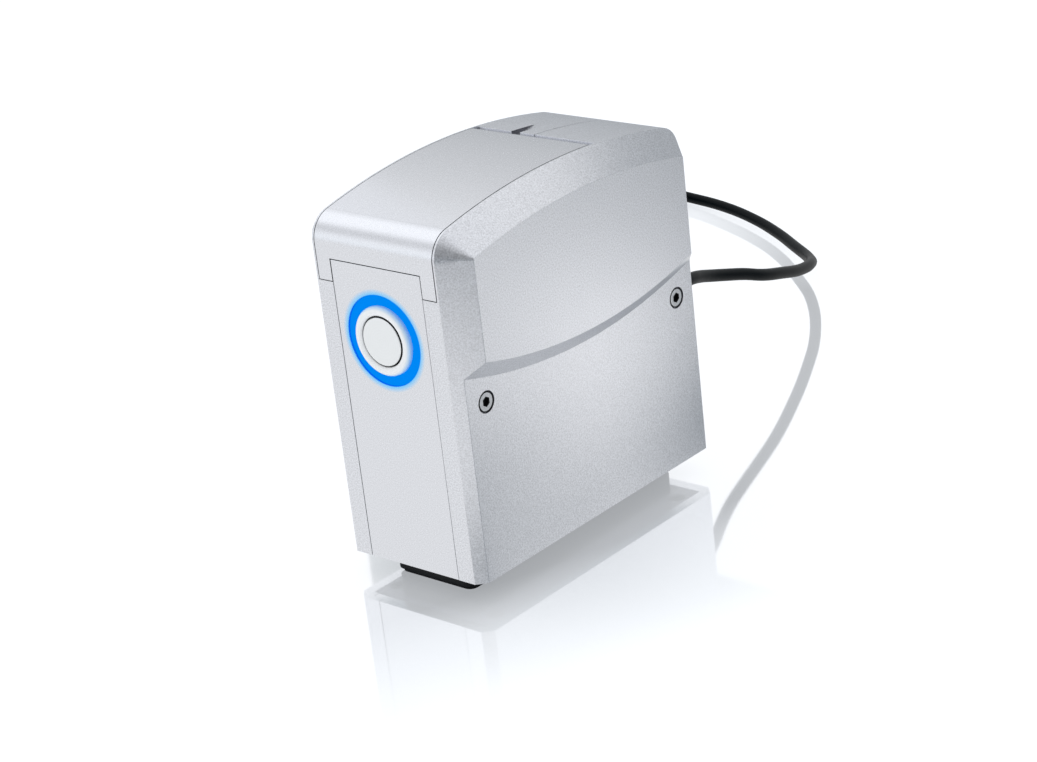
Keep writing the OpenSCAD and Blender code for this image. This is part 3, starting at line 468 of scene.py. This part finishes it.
def moulded(name, dark, light, roughness, grain, depth, gloss=0.5):
    """Starts a moulded plastic or rubber: two close colours and the mould's fine texture."""
    made, tree, shader, place = start_material(name, {"IOR": 1.5, "Specular IOR Level": gloss})
    texture = add_node(tree, "ShaderNodeTexNoise",
                       {"Vector": place, "Scale": 1 / grain, "Detail": 3.0, "Roughness": 0.6})
    add_tone(tree, shader, texture.outputs[0], dark, light)
    add_grain(tree, shader, texture.outputs[0], roughness, depth, 0.3)
    return made


def white_abs():
    # ABS, moulded in a polished mould: bright white with a soft gloss.
    return moulded("white_plastic", "#eceeef", "#f8f9fa", (0.22, 0.3), 1.2 * MM, 0.01 * MM)


def lit_collar():
    # The same ABS on the button's collar, with the light ring's glow painted on its outer edge as a blue
    # tint.
    made = moulded("white_plastic_painted_glow", "#f0f2f3", "#f8f9fa", (0.22, 0.3), 1.2 * MM, 0.01 * MM)
    radius = radius_of("button_collar")
    add_painted_spill(made, radius, radius - bpy.context.scene.analyzer.button.spill / 2, COLLAR_PAINTED_SPILL)
    return made


def grey_polycarbonate():
    # Polycarbonate blend, moulded with a fine spark-eroded texture.
    return moulded("grey_plastic", "#b3b6ba", "#bfc2c6", (0.45, 0.58), 0.6 * MM, 0.03 * MM)


def blue_polypropylene():
    # Polypropylene, moulded: slightly waxy gloss on the cartridge caps.
    return moulded("blue_plastic", "#17479a", "#1f58b4", (0.3, 0.4), 0.9 * MM, 0.015 * MM)


def black_abs():
    # ABS, moulded black with a fine matt texture.
    return moulded("black_plastic", "#101113", "#191b1d", (0.42, 0.56), 0.5 * MM, 0.03 * MM, 0.2)


def black_elastomer():
    # Thermoplastic rubber, moulded: dull black with a faint powdery bloom.
    return moulded("black_rubber", "#0d0e10", "#17181b", (0.62, 0.8), 0.7 * MM, 0.04 * MM, 0.15)


def pvc_jacket():
    # Soft PVC, extruded: smooth satin black with a long soft highlight.
    return moulded("cable_jacket", JACKET_BLACK, "#060d11", (0.34, 0.46), 1.5 * MM, 0.02 * MM, 0.03)


def cell_foam():
    # Closed-cell polyethylene foam, cut: dull dark grey with pores of about 0.7 mm.
    made, tree, shader, place = start_material("foam", {"IOR": 1.45})
    pores = add_node(tree, "ShaderNodeTexVoronoi", {"Vector": place, "Scale": 1 / (0.7 * MM)})
    add_tone(tree, shader, pores.outputs[0], "#26282b", "#3b3d41")
    add_grain(tree, shader, pores.outputs[0], (0.8, 0.95), 0.2 * MM, 0.6)
    return made


def clear_polystyrene():
    # Polystyrene, moulded clear: see-through with a faint haze.
    made, tree, shader, place = start_material(
        "clear_plastic", {"IOR": 1.59, "Transmission Weight": 0.85, "Base Color": linear("#dfecef")})
    haze = add_node(tree, "ShaderNodeTexNoise",
                    {"Vector": place, "Scale": 1 / (2.5 * MM), "Detail": 2.0})
    add_grain(tree, shader, haze.outputs[0], (0.06, 0.16), 0.01 * MM, 0.1)
    return made


def crown_glass():
    # Crown glass, ground and polished: clear, with a trace of cleaning haze.
    made, tree, shader, place = start_material(
        "optical_glass", {"IOR": 1.52, "Transmission Weight": 1.0, "Base Color": linear("#f2fafb")})
    haze = add_node(tree, "ShaderNodeTexNoise", {"Vector": place, "Scale": 1 / (3 * MM)})
    add_grain(tree, shader, haze.outputs[0], (0.0, 0.04), 0.002 * MM, 0.05)
    return made


def solder_mask():
    # Glass-epoxy board under green solder mask: glossy, with tracks 1.2 mm apart showing through.
    made, tree, shader, place = start_material("circuit_board", {"IOR": 1.5})
    tracks = add_node(tree, "ShaderNodeTexBrick",
                      {"Vector": place, "Scale": 1 / (6 * MM), "Mortar Size": 0.06, "Brick Width": 0.9,
                       "Row Height": 0.2, "Color1": (0, 0, 0, 1), "Color2": (0.15, 0.15, 0.15, 1),
                       "Mortar": (1, 1, 1, 1)})
    add_tone(tree, shader, tracks.outputs[0], "#0f4a2b", "#2f7d4d")
    add_grain(tree, shader, tracks.outputs[0], (0.25, 0.35), 0.03 * MM, 0.3)
    return made


def gold_plate():
    # Copper alloy contacts, gold plated: warm and bright with fine wipe marks.
    made, tree, shader, place = start_material("gold_plate", {"Metallic": 1.0})
    wipe = add_node(tree, "ShaderNodeTexNoise",
                    {"Vector": place, "Scale": 1 / (0.5 * MM), "Detail": 3.0})
    add_tone(tree, shader, wipe.outputs[0], "#c99a3c", "#e6bd62")
    add_grain(tree, shader, wipe.outputs[0], (0.2, 0.35), 0.005 * MM, 0.1)
    return made


FINISHES = {
    "satin_aluminium": blasted_aluminium,
    "plain_aluminium": milled_aluminium,
    "black_aluminium": black_anodised,
    "bright_steel": turned_steel,
    "black_steel": blackened_steel,
    "button_metal": faced_steel,
    "light_ring": lit_acrylic,
    "white_plastic": white_abs,
    "grey_plastic": grey_polycarbonate,
    "blue_plastic": blue_polypropylene,
    "black_plastic": black_abs,
    "black_rubber": black_elastomer,
    "foam": cell_foam,
    "clear_plastic": clear_polystyrene,
    "optical_glass": crown_glass,
    "circuit_board": solder_mask,
    "cable_jacket": pvc_jacket,
    "gold_plate": gold_plate,
}
made_finishes = {}


def finish_of(slot):
    """The material of a slot, made once."""
    if slot not in made_finishes:
        made_finishes[slot] = FINISHES[slot]()
    return made_finishes[slot]


def coil_point(turn):
    """A point of the coil: in at a steady rate, up a layer in half a turn, and out again."""
    middle = COIL_TURNS + COIL_CLIMB / 2
    radius = COIL_RADIUS - COIL_PITCH * (turn if turn < middle else 2 * middle - turn)
    climb = min(1, max(0, (turn - COIL_TURNS) / COIL_CLIMB))
    angle = math.radians(90 + 360 * turn)
    return (COIL_CENTRE[0] + radius * math.cos(angle), COIL_CENTRE[1] + radius * math.sin(angle),
            COIL_HEIGHT + COIL_PITCH * climb)


def cable_route():
    """The cable's middle line: the lead, the coil and the tail, in metres."""
    turns = 2 * COIL_TURNS + COIL_CLIMB
    coil = [coil_point(i / COIL_RINGS) for i in range(round(turns * COIL_RINGS) + 1)]
    return [Vector(point) * MM for point in LEAD + coil + TAIL]


def sweep_cable(route, diameter):
    """Makes a round cable along a route."""
    curve = bpy.data.curves.new("cable", "CURVE")
    curve.dimensions = "3D"
    curve.bevel_depth = diameter / 2
    curve.bevel_resolution = 5
    curve.resolution_u = 4
    curve.use_fill_caps = True
    spline = curve.splines.new("BEZIER")
    spline.bezier_points.add(len(route) - 1)
    for knot, point in zip(spline.bezier_points, route):
        knot.co = point
        knot.handle_left_type = "AUTO"
        knot.handle_right_type = "AUTO"
    cable = bpy.data.objects.new("cable", curve)
    bpy.context.scene.collection.objects.link(cable)
    return cable


def plug_contacts():
    """Models one gold contact on the plug's tongue and copies it beside itself."""
    low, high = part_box("plug_tongue")
    first = (low[0] + high[0]) / 2 - (PLUG_CONTACTS - 1) / 2 * CONTACT_PITCH
    bpy.ops.mesh.primitive_cube_add(size=1, location=(first, low[1] + CONTACT_INSET, high[2]))
    contact = bpy.context.active_object
    contact.name = "plug_contact_1"
    contact.scale = CONTACT_SIZE
    select_only(contact)
    bpy.ops.object.transform_apply(location=True, rotation=True, scale=True)
    modify(contact, "BEVEL", width=CONTACT_EDGE, segments=2)
    contact.data.materials.append(finish_of("gold_plate"))
    contacts = [contact]
    for i in range(1, PLUG_CONTACTS):
        contact = contacts[0].copy()
        contact.data = contact.data.copy()
        contact.name = "plug_contact_%d" % (i + 1)
        contact.data.transform(Matrix.Translation((i * CONTACT_PITCH, 0, 0)))
        bpy.context.scene.collection.objects.link(contact)
        contacts.append(contact)
    for contact in contacts:
        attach(contact, "housing")
    return contacts


def opal_sheet(look):
    # Opal acrylic, polished and lit from below: white all over, with a mirror that fades.
    made = bpy.data.materials.new("opal_acrylic")
    tree = start_tree(made)
    place = add_node(tree, "ShaderNodeTexCoord", {}).outputs["Object"]
    ahead = shade_along(tree, place, FADE_WAY, FADE_REACH, (look.mirror, 0.0))
    away = add_node(tree, "ShaderNodeVectorMath", {0: place, 1: MIRROR_MIDDLE}, operation="DISTANCE")
    around = add_node(tree, "ShaderNodeMapRange",
                      {"Value": away.outputs["Value"], "From Min": MIRROR_REACH[0],
                       "From Max": MIRROR_REACH[1], "To Min": look.mirror, "To Max": 0.0})
    mirror = add_node(tree, "ShaderNodeMath", {0: ahead, 1: around.outputs[0]}, operation="MINIMUM")
    cover = add_node(tree, "ShaderNodeBsdfDiffuse", {"Color": (*look.floor, 1.0)})
    glow = add_node(tree, "ShaderNodeEmission", {"Color": linear(FLOOR_GLOW), "Strength": look.glow})
    sheet = add_node(tree, "ShaderNodeAddShader", {0: cover.outputs[0], 1: glow.outputs[0]})
    polish = add_node(tree, "ShaderNodeBsdfGlossy", {"Color": linear(WHITE), "Roughness": FLOOR_POLISH})
    both = add_node(tree, "ShaderNodeMixShader",
                    {0: mirror.outputs[0], 1: sheet.outputs[0], 2: polish.outputs[0]})
    add_node(tree, "ShaderNodeOutputMaterial", {"Surface": both.outputs[0]})
    return made


def start_board(name):
    """Starts a lit board: returns it with its nodes and the places on it."""
    made = bpy.data.materials.new(name)
    tree = start_tree(made)
    return made, tree, add_node(tree, "ShaderNodeTexCoord", {}).outputs["Object"]


def board_glow(tree, tone):
    """The glow of a board by a tone: dark at 0, white at 1 and a lamp above that."""
    colour = add_node(tree, "ShaderNodeMix", {0: tone, 6: linear(BOARD_DARK), 7: linear(WHITE)},
                      data_type="RGBA", clamp_factor=False)
    light = add_node(tree, "ShaderNodeEmission", {"Color": colour.outputs[2], "Strength": BOARD_LIGHT})
    return light.outputs[0]


def painted_back_reflection():
    # Graded board behind the object that paints the room's reflection: dark at its foot and white at its
    # head, and steeper on the right.
    made, tree, place = start_board("painted_back_reflection")
    foot = shade_along(tree, place, *BACK_FOOT)
    head = shade_along(tree, place, *BACK_HEAD)
    left = add_node(tree, "ShaderNodeMath", {0: foot, 1: head}, operation="ADD")
    right = shade_along(tree, place, *BACK_STEEP)
    across = shade_along(tree, place, *BACK_ACROSS)
    tone = add_node(tree, "ShaderNodeMix", {0: across, 2: left.outputs[0], 3: right})
    add_node(tree, "ShaderNodeOutputMaterial", {"Surface": board_glow(tree, tone.outputs[0])})
    return made


def slanting_band(tree, place):
    """The floor board's band of painted shade: 1 outside it, and darkest along its middle."""
    slant = add_node(tree, "ShaderNodeVectorMath", {0: place, 1: BAND_WAY}, operation="DOT_PRODUCT")
    past = add_node(tree, "ShaderNodeMath", {0: slant.outputs["Value"], 1: BAND_MIDDLE},
                    operation="SUBTRACT")
    off = add_node(tree, "ShaderNodeMath", {0: past.outputs[0]}, operation="ABSOLUTE")
    depth = add_node(tree, "ShaderNodeMapRange",
                     {"Value": off.outputs[0], "From Max": BAND_HALF,
                      "To Min": BAND_DEPTH, "To Max": 0.0})
    grown = dim(tree, depth.outputs[0], [shade_along(tree, place, *BAND_GROWTH)])
    return add_node(tree, "ShaderNodeMath", {0: 1.0, 1: grown}, operation="SUBTRACT").outputs[0]


def corner_wedge(tree, place):
    """The floor board's wedge of painted shade: 0 in it and 1 on both sides of it."""
    past = add_node(tree, "ShaderNodeVectorMath", {0: place, 1: CORNER}, operation="SUBTRACT")
    apart = add_node(tree, "ShaderNodeSeparateXYZ", {0: past.outputs[0]}).outputs
    slope = add_node(tree, "ShaderNodeMath", {0: apart["Y"], 1: apart["X"]}, operation="DIVIDE")
    turn = add_node(tree, "ShaderNodeMath", {0: slope.outputs[0]}, operation="ABSOLUTE")
    shade = add_node(tree, "ShaderNodeMapRange",
                     {"Value": turn.outputs[0], "From Min": WEDGE[0], "From Max": WEDGE[1]})
    return shade.outputs[0]


def painted_footprint_shadow(tree, place):
    """The floor board's painted shadow under the object: 0 in it and 1 outside it."""
    size = add_node(tree, "ShaderNodeVectorMath", {0: place}, operation="ABSOLUTE")
    past = add_node(tree, "ShaderNodeVectorMath", {0: size.outputs[0], 1: FOOTPRINT},
                    operation="SUBTRACT")
    apart = add_node(tree, "ShaderNodeSeparateXYZ", {0: past.outputs[0]}).outputs
    outwards = add_node(tree, "ShaderNodeMath", {0: apart["X"], 1: apart["Y"]}, operation="MAXIMUM")
    shade = add_node(tree, "ShaderNodeMapRange",
                     {"Value": outwards.outputs[0], "From Min": RIM[0], "From Max": RIM[1]})
    return shade.outputs[0]


def painted_floor_shade():
    # Graded board, seen from above alone, that paints the floor's reflection: even on the left, and on
    # the right brightest beside the object's middle, with painted shade in a band and a wedge. It is
    # painted dark under the object, as its shadow, and by the camera.
    made, tree, place = start_board("painted_floor_shade")
    shades = [shade_along(tree, place, *shade) for shade in FLOOR_SHADES]
    right = dim(tree, FLOOR_GAIN, [*shades, slanting_band(tree, place), corner_wedge(tree, place)])
    across = shade_along(tree, place, *FLOOR_ACROSS)
    both = add_node(tree, "ShaderNodeMix", {0: across, 2: FLOOR_LEFT, 3: right})
    end = shade_along(tree, place, *FLOOR_END)
    tone = dim(tree, both.outputs[0], [end, painted_footprint_shadow(tree, place)])
    clear = add_node(tree, "ShaderNodeBsdfTransparent", {})
    below = add_node(tree, "ShaderNodeNewGeometry", {}).outputs["Backfacing"]
    sides = add_node(tree, "ShaderNodeMixShader",
                     {0: below, 1: board_glow(tree, tone), 2: clear.outputs[0]})
    add_node(tree, "ShaderNodeOutputMaterial", {"Surface": sides.outputs[0]})
    return made


def studio_room():
    """Makes the room: white overhead, dimmer by the floor, lit from the left and dark on the right."""
    world = bpy.data.worlds.new("studio")
    tree = start_tree(world)
    place = add_node(tree, "ShaderNodeTexCoord", {}).outputs["Generated"]
    height = add_node(tree, "ShaderNodeSeparateXYZ", {0: place}).outputs["Z"]
    ramp = add_node(tree, "ShaderNodeValToRGB", {0: height})
    low, high = ramp.color_ramp.elements
    low.color = linear(ROOM_DARK)
    high.color = linear(ROOM_LIGHT)
    high.position = ROOM_WHITE_FROM
    lights = [shade_along(tree, place, way, reach, (1.0, change)) for way, reach, change in ROOM_LIGHTS]
    sky = add_node(tree, "ShaderNodeBackground",
                   {"Color": ramp.outputs[0], "Strength": dim(tree, ROOM_STRENGTH, lights)})
    add_node(tree, "ShaderNodeOutputWorld", {"Surface": sky.outputs[0]})
    return world


def set_card(name, finish, place, size, turn):
    """Sets up a card that shows only in the object's own reflections."""
    bpy.ops.mesh.primitive_plane_add(size=1, location=place, rotation=turn)
    card = bpy.context.active_object
    card.name = name
    card.scale = size
    select_only(card)
    bpy.ops.object.transform_apply(location=True, rotation=True, scale=True)
    card.data.materials.append(finish)
    card.visible_camera = False
    card.visible_diffuse = False
    card.visible_transmission = False
    card.visible_shadow = False


class CameraSettings(bpy.types.PropertyGroup):
    position: FloatVectorProperty(
        name="Position", description="Where the camera stands", default=(0.5584, -0.6038, 0.3853),
        subtype="TRANSLATION", unit="LENGTH")
    azimuth: FloatProperty(
        name="Azimuth", description="Turn of the camera round the object",
        default=math.radians(42.859), subtype="ANGLE")
    elevation: FloatProperty(
        name="Elevation", description="How far the camera looks down",
        default=math.radians(22.036), subtype="ANGLE")
    roll: FloatProperty(
        name="Roll", description="Turn of the picture", default=math.radians(-6.683), subtype="ANGLE")
    lens: FloatProperty(
        name="Focal Length", description="Focal length on a 36 mm sensor", default=89.62, unit="CAMERA")


class HousingSettings(bpy.types.PropertyGroup):
    colour: FloatVectorProperty(
        name="Aluminium", description="Colour of the anodised aluminium",
        default=linear(ALUMINIUM)[:3], subtype="COLOR", min=0.0, max=1.0)
    edge: FloatProperty(
        name="Edge Break", description="Width of the broken edges", default=0.22 * MM, unit="LENGTH",
        subtype="DISTANCE", precision=5)
    grain: FloatProperty(
        name="Grain", description="Size of the blasted grain as drawn", default=0.5 * MM, unit="LENGTH",
        subtype="DISTANCE", precision=5)


class ButtonSettings(bpy.types.PropertyGroup):
    colour: FloatVectorProperty(
        name="Light Ring", description="Colour of the light ring",
        default=linear(RING_BLUE)[:3], subtype="COLOR", min=0.0, max=1.0)
    glow: FloatProperty(
        name="Glow", description="Strength of the light ring's glow", default=0.92, min=0.0)
    spill: FloatProperty(
        name="Spill", description="How far the glow shows on the panel", default=2.2 * MM,
        unit="LENGTH", subtype="DISTANCE", precision=5)


class CableSettings(bpy.types.PropertyGroup):
    diameter: FloatProperty(
        name="Diameter", description="Diameter of the cable", default=4.8 * MM, unit="LENGTH",
        subtype="DISTANCE", precision=5)


class StageSettings(bpy.types.PropertyGroup):
    floor: FloatVectorProperty(
        name="Floor", description="Colour of the floor", default=linear(FLOOR_OPAL)[:3],
        subtype="COLOR", min=0.0, max=1.0)
    mirror: FloatProperty(
        name="Mirror", description="How strongly the floor mirrors the object", default=0.5,
        min=0.0, max=1.0)
    glow: FloatProperty(
        name="Glow", description="Strength of the light under the floor", default=0.763, min=0.0)


class AnalyzerSettings(bpy.types.PropertyGroup):
    camera: PointerProperty(type=CameraSettings)
    housing: PointerProperty(type=HousingSettings)
    button: PointerProperty(type=ButtonSettings)
    cable: PointerProperty(type=CableSettings)
    stage: PointerProperty(type=StageSettings)


class ANALYZER_OT_camera(bpy.types.Operator):
    """Sets the camera where the photograph was taken from"""
    bl_idname = "analyzer.camera"
    bl_label = "Camera"

    def execute(self, context):
        view = context.scene.analyzer.camera
        bpy.ops.object.camera_add()
        camera = context.active_object
        turn = Matrix.Rotation(view.azimuth, 4, "Z")
        tilt = Matrix.Rotation(math.pi / 2 - view.elevation, 4, "X")
        roll = Matrix.Rotation(view.roll, 4, "Z")
        camera.matrix_world = Matrix.Translation(view.position) @ turn @ tilt @ roll
        camera.data.sensor_width = 36
        camera.data.lens = view.lens
        context.scene.camera = camera
        return {"FINISHED"}


class ANALYZER_OT_cable(bpy.types.Operator):
    """Lays the cable from its strain relief to its coil and its plug"""
    bl_idname = "analyzer.cable"
    bl_label = "Cable"

    def execute(self, context):
        diameter = context.scene.analyzer.cable.diameter
        route = cable_route()
        cable = sweep_cable(route, diameter)
        place_piece(cable, ["cable_lead", "cable_coil", "cable_tail"])
        relief = dress("strain_relief", edge=0.35 * MM, segments=3)
        tie = dress("cable_tie", edge=0.15 * MM)
        overmould = dress("plug_overmould", edge=0.9 * MM, segments=4)
        shell = dress("plug_shell", edge=0.08 * MM)
        paint("plug_tongue")
        contacts = plug_contacts()
        return {"FINISHED"}


class ANALYZER_OT_housing(bpy.types.Operator):
    """Breaks the edges of the shells, the front panel and the lid and anodises them"""
    bl_idname = "analyzer.housing"
    bl_label = "Housing"

    def execute(self, context):
        edge = context.scene.analyzer.housing.edge
        dress("side_shell_right", edge)
        # The notch's side walls get the dark black_aluminium finish as painted shade in the notch.
        refinish(dress("side_shell_left", edge), "black_aluminium", in_notch)
        dress("lid", edge, finish=fine_aluminium())
        dress("front_panel", edge, finish=lit_panel())
        return {"FINISHED"}


class ANALYZER_OT_button(bpy.types.Operator):
    """Finishes the push button, its collar and its light ring"""
    bl_idname = "analyzer.button"
    bl_label = "Button"

    def execute(self, context):
        dress("button_collar", edge=0.12 * MM, finish=lit_collar())
        cap = dress("button_cap", edge=0.1 * MM, segments=3)
        # The cap's side gets the black steel finish as painted shade of the gap round it.
        paint_flank_shade(cap, axis=1, depth=0.3 * MM, flat=0.5)
        paint("button_light_ring", "button_nut", "button_switch")
        return {"FINISHED"}


class ANALYZER_OT_foot(bpy.types.Operator):
    """Finishes the foot and its rubber sole"""
    bl_idname = "analyzer.foot"
    bl_label = "Foot"

    def execute(self, context):
        dress("foot_block", edge=1.0 * MM, segments=4)
        dress("foot_sole", edge=0.3 * MM)
        paint("base_plate")
        return {"FINISHED"}


class ANALYZER_OT_fasteners(bpy.types.Operator):
    """Finishes the screws, the hinge pins, the magnets and the uprights"""
    bl_idname = "analyzer.fasteners"
    bl_label = "Fasteners and Frame"

    def execute(self, context):
        screws = dress("side_screws", edge=0.12 * MM)
        # The screw heads' sides get the black steel finish as painted shade of the counterbores round
        # them.
        paint_flank_shade(screws, axis=0, depth=0.5 * MM, flat=0.95)
        paint("foot_screws", "frame_screws", "hinge_pins", "lid_magnets", "catch_magnets",
              "front_upright", "rear_upright")
        return {"FINISHED"}


class ANALYZER_OT_cushion(bpy.types.Operator):
    """Makes the foam pad under the lid"""
    bl_idname = "analyzer.cushion"
    bl_label = "Lid Cushion"

    def execute(self, context):
        pad = copy_node("lid_cushion", "lid_foam")
        modify(pad, "REMESH", mode="VOXEL", voxel_size=0.5 * MM)
        modify(pad, "SMOOTH", factor=0.5, iterations=6)
        select_only(pad)
        bpy.ops.object.shade_smooth()
        place_piece(pad, ["lid_cushion"])
        return {"FINISHED"}


class ANALYZER_OT_dosing(bpy.types.Operator):
    """Finishes the cartridges, their tray and the dosing parts"""
    bl_idname = "analyzer.dosing"
    bl_label = "Dosing"

    def execute(self, context):
        dress("cartridge_tray", edge=0.3 * MM)
        dress("cartridge_caps", edge=0.15 * MM)
        paint("cartridge_left", "cartridge_right", "cartridge_dock", "dosing_tubes", "dosing_valves",
              "dosing_manifold", "dosing_nozzles", "air_pump")
        return {"FINISHED"}


class ANALYZER_OT_optics(bpy.types.Operator):
    """Finishes the prisms, the camera and the light"""
    bl_idname = "analyzer.optics"
    bl_label = "Optics"

    def execute(self, context):
        paint("optics_bracket", "camera_prism", "light_prism", "lens_barrel", "camera_lens",
              "camera_body", "light_tube", "light_diffuser")
        return {"FINISHED"}


class ANALYZER_OT_electronics(bpy.types.Operator):
    """Finishes the circuit boards and what holds them"""
    bl_idname = "analyzer.electronics"
    bl_label = "Electronics"

    def execute(self, context):
        paint("camera_board", "light_board", "mainboard", "board_standoffs", "board_screws",
              "inner_lead")
        return {"FINISHED"}


class ANALYZER_OT_stage(bpy.types.Operator):
    """Lays a pale glossy floor and sets soft studio light"""
    bl_idname = "analyzer.stage"
    bl_label = "Stage"

    def execute(self, context):
        context.scene.view_settings.view_transform = "Standard"
        bpy.ops.mesh.primitive_plane_add(size=FLOOR_SIZE)
        floor = context.active_object
        floor.name = "floor"
        floor.data.materials.append(opal_sheet(context.scene.analyzer.stage))
        set_card("floor_card", painted_floor_shade(), place=(0, 0, 0.5 * MM), size=(3, 3, 0), turn=(0, 0, 0))
        set_card("back_card", painted_back_reflection(), place=(0, 0.15, 0.25), size=(0.5, 0.3, 0),
                 turn=(math.pi / 2, 0, 0))
        context.scene.world = studio_room()
        return {"FINISHED"}


class ANALYZER_PT_panel(bpy.types.Panel):
    """Lists the steps that dress the analyzer"""
    bl_label = "Drop Shape Analyzer"
    bl_idname = "ANALYZER_PT_panel"
    bl_space_type = "VIEW_3D"
    bl_region_type = "UI"
    bl_category = "Analyzer"

    def draw(self, context):
        for step in STEPS:
            self.layout.operator(step.bl_idname)
        for group in ("camera", "housing", "button", "cable", "stage"):
            box = self.layout.box()
            box.label(text=group.title())
            settings = getattr(context.scene.analyzer, group)
            for name in settings.__annotations__:
                box.prop(settings, name)


STEPS = (
    ANALYZER_OT_camera, ANALYZER_OT_cable, ANALYZER_OT_housing, ANALYZER_OT_button, ANALYZER_OT_foot,
    ANALYZER_OT_fasteners, ANALYZER_OT_cushion, ANALYZER_OT_dosing, ANALYZER_OT_optics,
    ANALYZER_OT_electronics, ANALYZER_OT_stage,
)
CLASSES = (
    CameraSettings, HousingSettings, ButtonSettings, CableSettings, StageSettings, AnalyzerSettings,
    *STEPS, ANALYZER_PT_panel,
)


def register():
    for cls in CLASSES:
        bpy.utils.register_class(cls)
    bpy.types.Scene.analyzer = PointerProperty(type=AnalyzerSettings)


def unregister():
    del bpy.types.Scene.analyzer
    for cls in reversed(CLASSES):
        bpy.utils.unregister_class(cls)


def main():
    register()
    bpy.ops.analyzer.camera()
    bpy.ops.analyzer.cable()
    bpy.ops.analyzer.housing()
    bpy.ops.analyzer.button()
    bpy.ops.analyzer.foot()
    bpy.ops.analyzer.fasteners()
    bpy.ops.analyzer.cushion()
    bpy.ops.analyzer.dosing()
    bpy.ops.analyzer.optics()
    bpy.ops.analyzer.electronics()
    bpy.ops.analyzer.stage()


if __name__ == "__main__":
    main()
